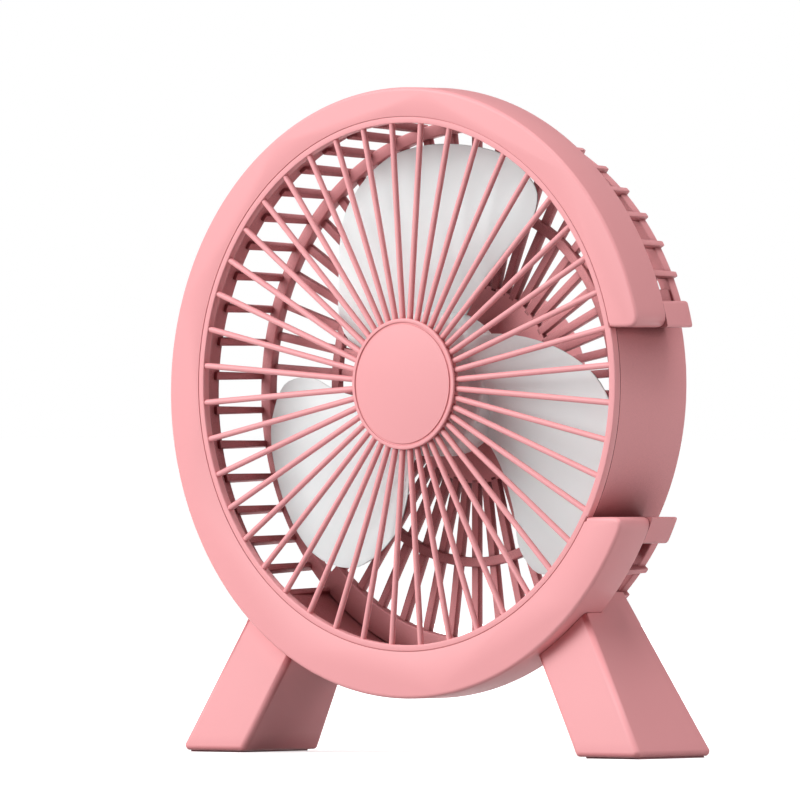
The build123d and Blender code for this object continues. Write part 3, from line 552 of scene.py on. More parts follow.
# %% [markdown]
# ## A tree that sets pieces at places
# Spokes, ribs and screws repeat. They could be copied in a loop, but a Geometry Nodes tree keeps the
# places apart from the piece. It takes a mesh whose points are the places, with a turn and a stretch
# stored on each point, and sets one copy of a piece at every point. Realize Instances makes the copies
# real mesh, and Set Material gives them their finish. It is built once and used for all of them.

# %% The tree


def places_tree():
    tree = bpy.data.node_groups.new("set_at_places", "GeometryNodeTree")
    face = tree.interface
    face.new_socket("Places", in_out="INPUT", socket_type="NodeSocketGeometry")
    face.new_socket("Piece", in_out="INPUT", socket_type="NodeSocketObject")
    face.new_socket("Thickness", in_out="INPUT", socket_type="NodeSocketFloat").default_value = 1.0
    face.new_socket("Finish", in_out="INPUT", socket_type="NodeSocketMaterial")
    face.new_socket("Set", in_out="OUTPUT", socket_type="NodeSocketGeometry")
    add, link = tree.nodes.new, tree.links.new
    inside, outside = add("NodeGroupInput"), add("NodeGroupOutput")
    piece, setter = add("GeometryNodeObjectInfo"), add("GeometryNodeInstanceOnPoints")
    turn, stretch = add("GeometryNodeInputNamedAttribute"), add("GeometryNodeInputNamedAttribute")
    turn.inputs["Name"].default_value = "turn"
    stretch.inputs["Name"].default_value = "stretch"
    about, grow = add("ShaderNodeCombineXYZ"), add("ShaderNodeCombineXYZ")
    real, paint = add("GeometryNodeRealizeInstances"), add("GeometryNodeSetMaterial")
    link(inside.outputs["Places"], setter.inputs["Points"])
    link(inside.outputs["Piece"], piece.inputs["Object"])
    link(piece.outputs["Geometry"], setter.inputs["Instance"])
    link(turn.outputs["Attribute"], about.inputs["Y"])
    link(about.outputs[0], setter.inputs["Rotation"])
    link(stretch.outputs["Attribute"], grow.inputs["X"])
    link(inside.outputs["Thickness"], grow.inputs["Y"])
    link(inside.outputs["Thickness"], grow.inputs["Z"])
    link(grow.outputs[0], setter.inputs["Scale"])
    link(setter.outputs["Instances"], real.inputs["Geometry"])
    link(real.outputs["Geometry"], paint.inputs["Geometry"])
    link(inside.outputs["Finish"], paint.inputs["Material"])
    link(paint.outputs["Geometry"], outside.inputs["Set"])
    return tree


PLACES = places_tree()
SOCKET = {item.name: item.identifier for item in PLACES.interface.items_tree if item.in_out == "INPUT"}
print("tree inputs:", list(SOCKET))

# %% [markdown]
# ### Using the tree
# The places go in as a mesh of loose points. The tree's inputs are set by their identifiers before the
# object is first evaluated, and the result is then worked into a plain mesh without the modifier.

# %% Setting a piece at places


def set_at(name, piece, places, finish):
    """Sets a piece at places: (point, turn in degrees seen from the front, stretch). Uses the piece up."""
    mesh = bpy.data.meshes.new(name)
    mesh.from_pydata([tuple(point) for point, _, _ in places], [], [])
    turns = [-radians(turn) for _, turn, _ in places]
    stretches = [stretch for _, _, stretch in places]
    for key, values in (("turn", turns), ("stretch", stretches)):
        mesh.attributes.new(key, "FLOAT", "POINT").data.foreach_set("value", values)
    obj = placed(name, mesh)
    nodes = obj.modifiers.new("places", "NODES")
    nodes.node_group = PLACES
    nodes[SOCKET["Piece"]] = piece
    nodes[SOCKET["Thickness"]] = 1.0
    nodes[SOCKET["Finish"]] = finish
    settled(obj)
    bpy.data.objects.remove(piece)
    smoothed(obj.data)
    print(name, "set at", len(places), "places")
    return obj


print("the tree has", len(PLACES.nodes), "nodes")

# %% [markdown]
# ## Front grille
# The grille is one moulding: a thin rim, a plate behind the cap, and straight round spokes. The rim is
# turned from two profiles. Where the frame holds it, a shallow step leaves the fine seam that shows
# as a dark line. Where the frame is open, the rim is broader. A flange lies behind the frame's face.

# %% Rim and hub plate
RIM_INNER, RIM_OUTER = 81.1, 82.8
RIM_DEPTH = 2.8
SEAM_EDGE, SEAM_DEPTH = RIM_OUTER + 0.15, 0.22
SEAM_OUTER = FACE_INNER - 0.06
FLANGE_INNER, FLANGE_OUTER = RIM_OUTER - 0.3, FACE_INNER + 0.5
FLANGE_FRONT, FLANGE_BACK = 1.88, 2.75
FLANGE_CLEAR = 3.0
PLATE_INNER, PLATE_OUTER = 6.0, 19.4
PLATE_FRONT, PLATE_BACK = 0.8, 3.0
RIM_SOFT = 0.3
END_PLAY = 0.15
RIM_STEP, FLANGE_STEP = 1.2, 1.5
gap_low = degrees(asin(GAP_BOTTOM / FACE_INNER))
gap_high = degrees(asin(GAP_TOP / FACE_INNER))
bm = bmesh.new()
held_rim = rounded([
    (RIM_INNER, 0, RIM_SOFT), (SEAM_EDGE, 0, 0.15), (SEAM_EDGE, SEAM_DEPTH), (SEAM_OUTER, SEAM_DEPTH),
    (SEAM_OUTER, RIM_DEPTH), (RIM_INNER, RIM_DEPTH, RIM_SOFT)], 0.05)
turned(bm, held_rim, spread(gap_high - END_PLAY, 360 + gap_low + END_PLAY, RIM_STEP))
open_rim = band(RIM_INNER, DRUM_RADIUS, 0, RIM_DEPTH, RIM_SOFT)
turned(bm, open_rim, spread(gap_low + END_PLAY, gap_high - END_PLAY, RIM_STEP))
flange = band(FLANGE_INNER, FLANGE_OUTER, FLANGE_FRONT, FLANGE_BACK, 0)
turned(bm, flange, spread(gap_high + FLANGE_CLEAR, 360 - FLANGE_CLEAR + gap_low, FLANGE_STEP))
plate = band(PLATE_INNER, PLATE_OUTER, PLATE_FRONT, PLATE_BACK, RIM_SOFT)
turned(bm, plate, full_turn(4), closed=True)
rim = new_object("grille_rim", bm, grille_pink)
print("rim faces", len(rim.data.polygons))

# %% [markdown]
# ### Spokes
# The spokes are round rods that run from the hub plate into the rim's inner wall, a little behind its
# face. One rod is drawn along +X, and the tree sets it round the axis.

# %% Spokes
SPOKE_COUNT = 44
SPOKE_RADIUS = 0.95
SPOKE_DEPTH = 1.2
SPOKE_SIDES = 16
SPOKE_START, SPOKE_END = 17.0, RIM_INNER + 0.6
sides = [2 * pi * k / SPOKE_SIDES for k in range(SPOKE_SIDES)]
spoke_section = [(SPOKE_DEPTH + SPOKE_RADIUS * cos(a), SPOKE_RADIUS * sin(a)) for a in sides]
spoke = new_object("spoke", rod(spoke_section, SPOKE_START, SPOKE_END), grille_pink)
spoke_places = [(at(0, 0, 0), (i + 0.5) * 360 / SPOKE_COUNT, 1.0) for i in range(SPOKE_COUNT)]
spokes = set_at("spokes", spoke, spoke_places, grille_pink)
stands_for(joined("grille", [rim, spokes]), "housing", "pink_shell", "front_grille")

# %% [markdown]
# ## Hub cap
# A shallow disc with a raised border. The fine groove inside the border is what the eye reads as a
# dark ring, so it is turned as a real groove with soft lips.

# %% Hub cap
MIDDLE = 0.02
CAP_RADIUS = 20.4
CAP_FACE, CAP_BACK = -0.7, 0.1
GROOVE_INNER, GROOVE_OUTER = 18.55, 19.25
GROOVE_FLOOR, GROOVE_LEAN = -0.35, 0.05
SPIGOT_RADIUS, SPIGOT_BACK = 5.85, 2.4
cap_profile = rounded([
    (MIDDLE, CAP_FACE, 0), (GROOVE_INNER, CAP_FACE, 0.12), (GROOVE_INNER + GROOVE_LEAN, GROOVE_FLOOR, 0.06),
    (GROOVE_OUTER - GROOVE_LEAN, GROOVE_FLOOR, 0.06), (GROOVE_OUTER, CAP_FACE, 0.15),
    (CAP_RADIUS, CAP_FACE, 0.45), (CAP_RADIUS, CAP_BACK), (SPIGOT_RADIUS, CAP_BACK),
    (SPIGOT_RADIUS, SPIGOT_BACK, 0.3), (MIDDLE, SPIGOT_BACK, 0)], 0.1)
bm = bmesh.new()
turned(bm, cap_profile, full_turn(3), closed=True)
stands_for(new_object("cap", bm, cap_pink), "housing", "pink_shell", "hub_cap")

# %% [markdown]
# ## C-shaped frame
# The frame is a flat face with a band behind it, like a lid with a piece cut out. Its outline is two
# circles that don't share a centre, so it can't be turned. It is drawn as one outline, outer edge first
# and with round corners at its two ends. The inner edge stays sharp, because the grille meets it there.

# %% Frame outline
CORNER_ALONG_RING = 5.2
CORNER_ALONG_END = 4.6
OUTLINE_STEP = 1.2


def corner_arc(start, middle, end, steps=7):
    start, middle, end = (np.array(p) for p in (start, middle, end))
    return [tuple((1 - t) ** 2 * start + 2 * t * (1 - t) * middle + t * t * end)
            for t in np.linspace(0, 1, steps)]


def frame_outline():
    """Points of the frame's outer edge with its two ends, and points of its inner edge."""
    high = degrees(asin((GAP_TOP + DROP) / RING_RADIUS))
    low = degrees(asin((GAP_BOTTOM + DROP) / RING_RADIUS))
    corner = degrees(CORNER_ALONG_RING / RING_RADIUS)
    arc = [polar(RING_RADIUS, a) for a in spread(high + corner, 360 + low - corner, OUTLINE_STEP)]
    arc = [(x, z - DROP) for x, z in arc]
    high_x, low_x = RING_RADIUS * cos(radians(high)), RING_RADIUS * cos(radians(low))
    high_end = corner_arc((high_x - CORNER_ALONG_END, GAP_TOP), (high_x, GAP_TOP), arc[0])
    low_end = corner_arc(arc[-1], (low_x, GAP_BOTTOM), (low_x - CORNER_ALONG_END, GAP_BOTTOM))
    inner_high = (sqrt(FACE_INNER ** 2 - GAP_TOP ** 2), GAP_TOP)
    inner_low = (sqrt(FACE_INNER ** 2 - GAP_BOTTOM ** 2), GAP_BOTTOM)
    outside = [inner_high] + high_end + arc[1:-1] + low_end + [inner_low]
    inside = [polar(FACE_INNER, a) for a in spread(360 + gap_low, gap_high, OUTLINE_STEP)][1:-1]
    return outside, inside


def inward(points):
    """Unit normals that point into a counter-clockwise outline."""
    along = np.roll(points, -1, 0) - np.roll(points, 1, 0)
    along /= np.linalg.norm(along, axis=1)[:, None]
    return np.stack([-along[:, 1], along[:, 0]], 1)


outside, inside = frame_outline()
edge_count = len(outside)
loop = np.array(outside + inside)
normals = inward(loop)
normals[0], normals[edge_count - 1] = (0, 1), (0, -1)
print("frame outline points", len(loop))

# %% [markdown]
# ### Frame shell
# The front edge is rolled over in small steps along those normals, and the band is pulled straight
# back. That gives one open sheet. Solidify makes it a wall, and a small Bevel softens what is left.

# %% Frame shell
FRAME_DEPTH = 14.5
FRAME_EDGE = 1.2
FRAME_WALL = 1.9
FRAME_SOFT = 0.22
FRAME_SHARP_ANGLE = 30.0
FRAME_BEVEL_ANGLE = 50.0
ROLL_STEPS = 5
bm = bmesh.new()
rows = []
for k in range(ROLL_STEPS + 1):
    a = radians(90) * k / ROLL_STEPS
    move, depth = FRAME_EDGE * (1 - sin(a)), FRAME_EDGE * (1 - cos(a))
    rows.append([bm.verts.new(at(x, depth, z)) for x, z in (loop + normals * move)[:edge_count]])
rows.append([bm.verts.new(at(x, FRAME_DEPTH, z)) for x, z in loop[:edge_count]])
hole = [bm.verts.new(at(x, 0, z)) for x, z in loop[edge_count:]]
for one, two in zip(rows, rows[1:]):
    for i in range(edge_count - 1):
        bm.faces.new((one[i], one[i + 1], two[i + 1], two[i]))
bm.faces.new(rows[0] + hole)
bmesh.ops.remove_doubles(bm, verts=bm.verts[:], dist=1e-7)
bmesh.ops.recalc_face_normals(bm, faces=bm.faces[:])
if max(bm.faces, key=lambda f: f.calc_area()).normal.y > 0:
    bmesh.ops.reverse_faces(bm, faces=bm.faces[:])
shell = new_object("frame_shell", bm, shell_pink, FRAME_SHARP_ANGLE, fix=False)
wall = shell.modifiers.new("wall", "SOLIDIFY")
wall.thickness = FRAME_WALL * MM
wall.offset = -1
wall.use_even_offset = True
soften = shell.modifiers.new("soften", "BEVEL")
soften.width = FRAME_SOFT * MM
soften.segments = 2
soften.limit_method = "ANGLE"
soften.angle_limit = radians(FRAME_BEVEL_ANGLE)
settled(shell)
smoothed(shell.data, FRAME_SHARP_ANGLE)
print("frame shell faces", len(shell.data.polygons))

# %% [markdown]
# ### Frame bosses
# Five bosses stand inside the band for the screws from behind. They are plain tubes, set by the tree.

# %% Frame bosses
SCREW_ANGLES = (45, 90, 135, 180, 270)
BOSS_RADIUS, BOSS_BORE = 2.2, 1.05
BOSS_FRONT, BOSS_BACK = 1.9, 10.8
BAND_WALL, BOSS_CLEAR = 2.0, 0.15
BOSS_CIRCLE = RING_RADIUS - BAND_WALL - BOSS_RADIUS - BOSS_CLEAR
TUBE_SOFT, TUBE_SIDES = 0.2, 24


def tube(name, inner, outer, front, back, finish):
    """A short tube along the depth, drawn about its own axis."""
    return new_object(name, small_turned(band(inner, outer, front, back, TUBE_SOFT, 2), TUBE_SIDES), finish)


boss_places = []
for angle in SCREW_ANGLES:
    x, z = polar(BOSS_CIRCLE, angle)
    boss_places.append((at(x, 0, z - DROP), 0, 1.0))
boss = tube("boss", BOSS_BORE, BOSS_RADIUS, BOSS_FRONT, BOSS_BACK, shell_pink)
bosses = set_at("bosses", boss, boss_places, shell_pink)
stands_for(joined("frame_c", [shell, bosses]), "housing", "pink_shell", "c_frame")

# %% [markdown]
# ## Rear basket
# The basket is the busiest piece: a collar behind the frame, ribs that run back along the side and
# lean in a little, a hoop where they end, and ribs across the back that point at the motor. The collar
# and the solid walls are turned first: the smooth wall in the frame's gap, the ledge behind the rim,
# the hoop half way in, and the walls that close the slots at the leg roots.

# %% Collar and walls
COLLAR_RADIUS, COLLAR_INNER = 88.2, 86.8
COLLAR_FRONT, COLLAR_BACK = 1.9, 14.6
LEDGE_INNER, LEDGE_OUTER = 81.95, 84.6
LEDGE_FRONT, LEDGE_BACK = 2.9, 4.4
MID_HOOP_INNER, MID_HOOP_OUTER = 54.1, 57.1
MID_HOOP_FRONT, MID_HOOP_BACK = 34.0, 36.6
DRUM_INNER = 81.5
DRUM_FRONT, DRUM_BACK, DRUM_EDGE = 2.88, 36.2, 2.6
ROOT_INNER, ROOT_OUTER = 85.6, 87.4
ROOT_FRONT, ROOT_BACK = 12.0, 36.0
ROOT_START, ROOT_END = 50.0, 73.0
ROOT_ON = 3.0
BLOCK_HEIGHT = 8.2
WALL_LAP = 2.6
BASKET_STEP = 1.5
block_low, block_high = GAP_BOTTOM - BLOCK_HEIGHT, GAP_TOP + BLOCK_HEIGHT
open_low = degrees(asin(block_low / DRUM_RADIUS))
open_high = degrees(asin(block_high / DRUM_RADIUS))
side_low = degrees(asin((block_low + DROP) / COLLAR_RADIUS))
side_high = degrees(asin((block_high + DROP) / COLLAR_RADIUS))
wall_low, wall_high = open_low - WALL_LAP, open_high + WALL_LAP
bm = bmesh.new()
collar = band(COLLAR_INNER, COLLAR_RADIUS, COLLAR_FRONT, COLLAR_BACK, 0.3, 2)
turned(bm, collar, spread(side_high, 360 + side_low, BASKET_STEP), DROP)
ledge = band(LEDGE_INNER, LEDGE_OUTER, LEDGE_FRONT, LEDGE_BACK, 0.3, 2)
turned(bm, ledge, spread(wall_high, 360 + wall_low, BASKET_STEP))
mid_hoop = band(MID_HOOP_INNER, MID_HOOP_OUTER, MID_HOOP_FRONT, MID_HOOP_BACK, 0.4)
turned(bm, mid_hoop, full_turn(2), closed=True)
drum_wall = rounded([
    (DRUM_INNER, DRUM_FRONT), (DRUM_RADIUS, DRUM_FRONT), (DRUM_RADIUS, DRUM_BACK, DRUM_EDGE),
    (DRUM_INNER, DRUM_BACK)], 0.15, 5)
turned(bm, drum_wall, spread(wall_low, wall_high, 1.0))
root_wall = band(ROOT_INNER, ROOT_OUTER, ROOT_FRONT, ROOT_BACK, 0.3, 2)
turned(bm, root_wall, spread(-ROOT_END, -ROOT_START, BASKET_STEP), DROP)
turned(bm, root_wall, spread(ROOT_START - 180 - ROOT_ON, ROOT_END - 180, BASKET_STEP), DROP)
walls = new_object("basket_walls", bm, guard_pink)
print("basket wall faces", len(walls.data.polygons))

# %% [markdown]
# ### Rear hoop and motor cup
# The hoop ends the side ribs. It stops at the frame's gap, and it leaves out the bottom, where it is
# broader and comes with the back ribs. The cup in the middle holds the motor. Both catch more light
# than the walls do, so they are pieces of their own with a finish that gets less painted shade.

# %% Rear hoop and motor cup
HOOP_INNER, HOOP_OUTER = 81.5, 85.4
HOOP_FRONT, HOOP_BACK = 33.4, 37.0
HOOP_SOFT = 0.5
BROAD_START, BROAD_END = 224.8, 315.2
CUP_RADIUS, CUP_INNER, CUP_BORE = 15.95, 13.95, 3.15
CUP_FRONT, CUP_FLOOR = 24.5, 26.5
DISC_RADIUS, DISC_FRONT = 31.0, 35.0
GUARD_BACK = 37.6
bm = bmesh.new()
hoop = band(HOOP_INNER, HOOP_OUTER, HOOP_FRONT, HOOP_BACK, HOOP_SOFT)
turned(bm, hoop, spread(side_high, BROAD_START, BASKET_STEP), DROP)
turned(bm, hoop, spread(BROAD_END, 360 + side_low, BASKET_STEP), DROP)
stands_for(new_object("rear_hoop", bm, hoop_pink), "housing", "pink_shell", "rear_guard")
bm = bmesh.new()
cup = rounded([(CUP_BORE, CUP_FRONT), (CUP_RADIUS, CUP_FRONT, 0.8), (CUP_RADIUS, DISC_FRONT, 0.6),
               (DISC_RADIUS, DISC_FRONT), (DISC_RADIUS, GUARD_BACK), (CUP_INNER, GUARD_BACK),
               (CUP_INNER, CUP_FLOOR), (CUP_BORE, CUP_FLOOR)], 0.3)
turned(bm, cup, full_turn(3), closed=True)
stands_for(new_object("motor_cup", bm, cup_pink), "housing", "pink_shell", "rear_guard")

# %% [markdown]
# ### Ribs along the side
# A side rib is a bar that narrows and leans in towards the back. One is drawn between two rectangles
# and its edges are bevelled. The tree sets it round the lower centre, leaving out the frame's gap and
# the leg roots, where the wall is solid.

# %% Ribs along the side
RIB_COUNT = 50
RIB_THICKNESS = 2.6
RIB_LEAN = 1.6
RIB_HALF, RIB_END_HALF = 1.3, 0.9
RIB_SOFT = 0.4


def tapered_bar(name, near, far, finish, soft):
    """A bar between two rectangles (low x, high x, half height, depth), with soft edges."""
    bm = bmesh.new()
    ends = []
    for low, high, half, depth in (near, far):
        corners = ((low, -half), (high, -half), (high, half), (low, half))
        ends.append([bm.verts.new(Vector((x, depth, z)) * MM) for x, z in corners])
    bridged(bm, ends, closed=False)
    bmesh.ops.recalc_face_normals(bm, faces=bm.faces[:])
    bmesh.ops.bevel(bm, geom=bm.edges[:], offset=soft * MM, segments=2, profile=0.5, affect="EDGES")
    return new_object(name, bm, finish)


rib_angles = [(i + 0.5) * 360 / RIB_COUNT for i in range(RIB_COUNT)]
rib_places = []
for angle in rib_angles:
    in_gap = angle <= open_high or angle - 360 >= open_low
    in_leg = ROOT_START < 360 - angle < ROOT_END or ROOT_START < angle - 180 < ROOT_END
    if not in_gap and not in_leg:
        rib_places.append((at(0, 0, -DROP), angle, 1.0))
rib_inner = COLLAR_RADIUS - RIB_THICKNESS
rib_near = (rib_inner, COLLAR_RADIUS, RIB_HALF, COLLAR_BACK - RIB_THICKNESS)
rib_far = (rib_inner - RIB_LEAN, COLLAR_RADIUS - RIB_LEAN, RIB_END_HALF, GUARD_BACK)
rib = tapered_bar("rib", rib_near, rib_far, guard_pink, RIB_SOFT)
side_ribs = set_at("side_ribs", rib, rib_places, guard_pink)

# %% [markdown]
# ### Ribs across the back
# The ribs across the back point at the fan axis but end on the hoop, which is centred lower. Each one
# therefore has its own length, stored on its place as a stretch of a bar one millimetre long. Between
# the legs the hoop is broader, which ties the two leg roots together.

# %% Ribs across the back
BAR_ROOT = 30.0
BAR_END_IN_GAP = 82.0
BROAD_INNER = 76.7
hoop_middle = (HOOP_INNER + HOOP_OUTER) / 2
bar_places = []
for angle in rib_angles:
    side_step, rise = polar(DROP, angle)
    end = -rise + sqrt(hoop_middle ** 2 - side_step ** 2)
    if angle < open_high or angle - 360 > open_low:
        end = BAR_END_IN_GAP
    x, z = polar(BAR_ROOT, angle)
    bar_places.append((at(x, 0, z), angle, end - BAR_ROOT))
bar_section = [(depth, z) for z, depth in band(-RIB_HALF, RIB_HALF, DISC_FRONT, GUARD_BACK, RIB_SOFT, 2)]
# The back ribs and the broad hoop have a pink with a little less painted shade than the walls.
bar = new_object("bar", rod(bar_section, 0, 1), rib_pink)
back_ribs = set_at("back_ribs", bar, bar_places, rib_pink)
bm = bmesh.new()
broad_hoop = band(BROAD_INNER, HOOP_OUTER, HOOP_FRONT, HOOP_BACK, HOOP_SOFT)
turned(bm, broad_hoop, spread(BROAD_START, BROAD_END, BASKET_STEP), DROP)
broad = new_object("broad_hoop", bm, rib_pink)
stands_for(joined("rear_bars", [back_ribs, broad]), "housing", "pink_shell", "rear_guard")

# %% [markdown]
# ### End blocks
# Behind each end of the frame a solid block carries the band on towards the back. A block follows the
# frame's own circle outside and the drum inside, so it is drawn as an outline and given depth. Only
# the edges at its back and along its depth are rounded, because its front meets the frame.

# %% End blocks
BLOCK_FRONT, BLOCK_BACK = 14.57, 27.5
BLOCK_SOFT = 0.9
BLOCK_STEPS = 9
BLOCK_LAP = 1.0
BLOCK_SHARP_ANGLE = 40.0


def end_block(bottom):
    heights = np.linspace(bottom, bottom + BLOCK_HEIGHT, BLOCK_STEPS)
    outline = [(sqrt(RING_RADIUS ** 2 - (z + DROP) ** 2), z) for z in heights]
    outline += [(sqrt((DRUM_RADIUS - BLOCK_LAP) ** 2 - z ** 2), z) for z in heights[::-1]]
    bm = bmesh.new()
    ends = [[bm.verts.new(at(x, depth, z)) for x, z in outline] for depth in (BLOCK_FRONT, BLOCK_BACK)]
    bridged(bm, ends, closed=False)
    bmesh.ops.recalc_face_normals(bm, faces=bm.faces[:])
    halfway = at(0, (BLOCK_FRONT + BLOCK_BACK) / 2, 0).y
    soft_edges = []
    for edge in bm.edges:
        depths = sorted(v.co.y for v in edge.verts)
        at_back, along_depth = depths[0] > halfway, depths[0] < halfway < depths[1]
        if edge.calc_face_angle(0) > radians(BLOCK_SHARP_ANGLE) and (at_back or along_depth):
            soft_edges.append(edge)
    bmesh.ops.bevel(bm, geom=soft_edges, offset=BLOCK_SOFT * MM, segments=3, profile=0.5, affect="EDGES")
    return new_object("end_block", bm, guard_pink)


blocks = [end_block(GAP_TOP), end_block(GAP_BOTTOM - BLOCK_HEIGHT)]
print("end block faces", [len(block.data.polygons) for block in blocks])

# %% [markdown]
# ### Posts and lugs
# Three posts on the back carry the tray and the cover, and five lugs on the collar take the frame's
# screws. Both repeat, so the tree sets them, and with the walls and the blocks they join the basket.

# %% Posts and lugs
POST_ANGLES = (90, 210, 330)
POST_CIRCLE = 23.4
POST_RADIUS, POST_BORE = 2.6, 1.15
POST_FRONT, POST_BACK = 36.5, 42.0
LUG_INNER, LUG_OUTER, LUG_HALF = 87.2, 92.7, 3.0
LUG_FRONT, LUG_BACK = 10.82, 13.4
post_places = []
for angle in POST_ANGLES:
    x, z = polar(POST_CIRCLE, angle)
    post_places.append((at(x, 0, z), 0, 1.0))
post = tube("post", POST_BORE, POST_RADIUS, POST_FRONT, POST_BACK, guard_pink)
posts = set_at("posts", post, post_places, guard_pink)
lug_ends = [(LUG_INNER, LUG_OUTER, LUG_HALF, depth) for depth in (LUG_FRONT, LUG_BACK)]
lug = tapered_bar("lug", *lug_ends, guard_pink, RIB_SOFT)
lugs = set_at("lugs", lug, [(at(0, 0, -DROP), angle, 1.0) for angle in SCREW_ANGLES], guard_pink)
basket = joined("basket", [walls, side_ribs, posts, lugs] + blocks)
stands_for(basket, "housing", "pink_shell", "rear_guard")

# %% [markdown]
# ## Blades
# Each blade is a broad petal, twisted so that its clockwise side lies further back, and hollow towards
# the front. Its outline is a smooth curve through a few points, each given as a share of the tip's
# radius and an angle from the blade's middle. It starts at the hub, runs out along one edge, round the
# tip and back along the other.

# %% Blade outline
BLADE_TIP = 74.8
PETAL = ((0.28, -27.5), (0.45, -32.2), (0.61, -37.3), (0.79, -42.2), (0.905, -40.0), (0.975, -32.0),
         (1.0, -15.0), (0.97, 9.0), (0.87, 21.7), (0.675, 34.0), (0.43, 48.5), (0.28, 55.0))
TIP_POINT = 6
OUTLINE_STEPS = 400


def smooth_curve(xs, ys, x):
    """A smooth curve through points, read at x."""
    slopes = np.gradient(ys, xs)
    i = int(np.clip(np.searchsorted(xs, x) - 1, 0, len(xs) - 2))
    h = xs[i + 1] - xs[i]
    t = (x - xs[i]) / h
    return ((1 + 2 * t) * (1 - t) ** 2 * ys[i] + t * (1 - t) ** 2 * h * slopes[i]
            + t * t * (3 - 2 * t) * ys[i + 1] + t * t * (t - 1) * h * slopes[i + 1])


corners = np.array([polar(BLADE_TIP * share, angle) for share, angle in PETAL])
lengths = np.concatenate([[0], np.cumsum(np.linalg.norm(np.diff(corners, axis=0), axis=1))])


def outline_point(length):
    return np.array([smooth_curve(lengths, corners[:, k], length) for k in (0, 1)])


edge_points = np.array([outline_point(s) for s in np.linspace(0, lengths[-1], OUTLINE_STEPS)])
print("blade outline", round(lengths[-1], 1), "mm long")

# %% [markdown]
# ### Blade sheets
# Rows run from one edge of the petal to the other and close up at the tip. The depth of a point comes
# from the pitch at its radius, which grows towards the hub, and from a slight hollow. Solidify would
# leave a square rim, so the front and back sheets are made apart and draw together at the outline.

# %% Blade rows
BLADE_MIDDLE = 16.5
BLADE_REACH = 64.0
ROOT_SHARE = 0.1
ROOT_X = 14.0
BLADE_THICKNESS = 1.8
THIN_SHARE, THIN_WIDTH = 0.35, 9.0
EDGE_ROUND = 0.5
# share of the tip's radius, pitch in degrees, hollow as a share of the half width
SECTIONS = np.array(((0.22, 30.0, 0.055), (0.5, 13.5, 0.06), (0.78, 9.5, 0.055), (1.06, 7.5, 0.05)))


def blade_depth(x, w):
    """Depth of the blade's back sheet at a distance x out along its middle and w across it."""
    share = x / BLADE_TIP
    pitch = radians(smooth_curve(SECTIONS[:, 0], SECTIONS[:, 1], share))
    hollow = smooth_curve(SECTIONS[:, 0], SECTIONS[:, 2], share)
    half = BLADE_REACH * min(1, share + ROOT_SHARE)
    along = w / cos(pitch)
    return BLADE_MIDDLE - along * sin(pitch) + half * hollow * cos(pitch) * (1 - (along / half) ** 2)


def blade_thickness(x, w):
    near = np.min(np.linalg.norm(edge_points - (x, w), axis=1))
    thin = THIN_SHARE + (1 - THIN_SHARE) * min(1.0, near / THIN_WIDTH)
    edge = 1 - min(1.0, near / EDGE_ROUND)
    return BLADE_THICKNESS * thin * sqrt(max(0.0, 1 - edge ** 2))


def blade_rows(rows=44, columns=40):
    """Rows of (x, w, depth of the middle, thickness) from the hub out to the tip."""
    tip, whole = lengths[TIP_POINT], lengths[-1]
    result = []
    for u in (sin(pi / 2 * i / rows) for i in range(rows + 1)):
        ends = [outline_point(tip * u), outline_point(whole - (whole - tip) * u)]
        radii = [np.linalg.norm(p) for p in ends]
        angles = [np.arctan2(p[1], p[0]) for p in ends]
        row = []
        for v in ((1 - cos(pi * j / columns)) / 2 for j in range(columns + 1)):
            radius, angle = (1 - v) * radii[0] + v * radii[1], (1 - v) * angles[0] + v * angles[1]
            x, w = radius * cos(angle), radius * sin(angle)
            depth = blade_depth(max(x, ROOT_X), w) - BLADE_THICKNESS / 2
            row.append((x, w, depth, blade_thickness(x, w)))
        result.append(row)
    return result


petal_rows = blade_rows()
print("blade rows", len(petal_rows))

# %% [markdown]
# ### Impeller
# The three blades are the same petal, turned by thirds. The hub is a cup that opens to the back, with a
# boss in it for the shaft. It is turned from one profile and joined to the blades.

# %% Impeller
BLADE_COUNT = 3
BLADE_FIRST = 100
BLADE_SHARP_ANGLE = 60.0
BLADE_MERGE_METRES, BLADE_DEAD_METRES = 2e-5, 1e-6
HUB_RADIUS, HUB_INNER = 22.5, 20.5
HUB_FRONT, HUB_FLOOR, HUB_BACK = 11.0, 13.0, 23.4
HUB_BOSS, HUB_BOSS_BACK = 4.2, 22.4
SHAFT_BORE, SHAFT_SEAT = 1.05, 13.2


def blade(bm, rows, turn):
    c, s = cos(radians(turn)), sin(radians(turn))
    for side in (-0.5, 0.5):
        sheet = []
        for row in rows:
            points = [(x * c - w * s, depth + side * thick, x * s + w * c) for x, w, depth, thick in row]
            sheet.append([bm.verts.new(at(*point)) for point in points])
        for one, two in zip(sheet, sheet[1:]):
            for k in range(len(one) - 1):
                bm.faces.new((one[k], one[k + 1], two[k + 1], two[k]))


bm = bmesh.new()
for i in range(BLADE_COUNT):
    blade(bm, petal_rows, BLADE_FIRST + i * 360 / BLADE_COUNT)
bmesh.ops.remove_doubles(bm, verts=bm.verts[:], dist=BLADE_MERGE_METRES)
bmesh.ops.dissolve_degenerate(bm, dist=BLADE_DEAD_METRES, edges=bm.edges[:])
blades = new_object("blades", bm, blade_white, BLADE_SHARP_ANGLE)
bm = bmesh.new()
hub_profile = rounded([
    (MIDDLE, HUB_FRONT, 0), (HUB_RADIUS, HUB_FRONT, 1.8), (HUB_RADIUS, HUB_BACK, 0.3),
    (HUB_INNER, HUB_BACK, 0.3), (HUB_INNER, HUB_FLOOR), (HUB_BOSS, HUB_FLOOR), (HUB_BOSS, HUB_BOSS_BACK),
    (SHAFT_BORE, HUB_BOSS_BACK), (SHAFT_BORE, SHAFT_SEAT), (MIDDLE, SHAFT_SEAT, 0)], 0.2, 4)
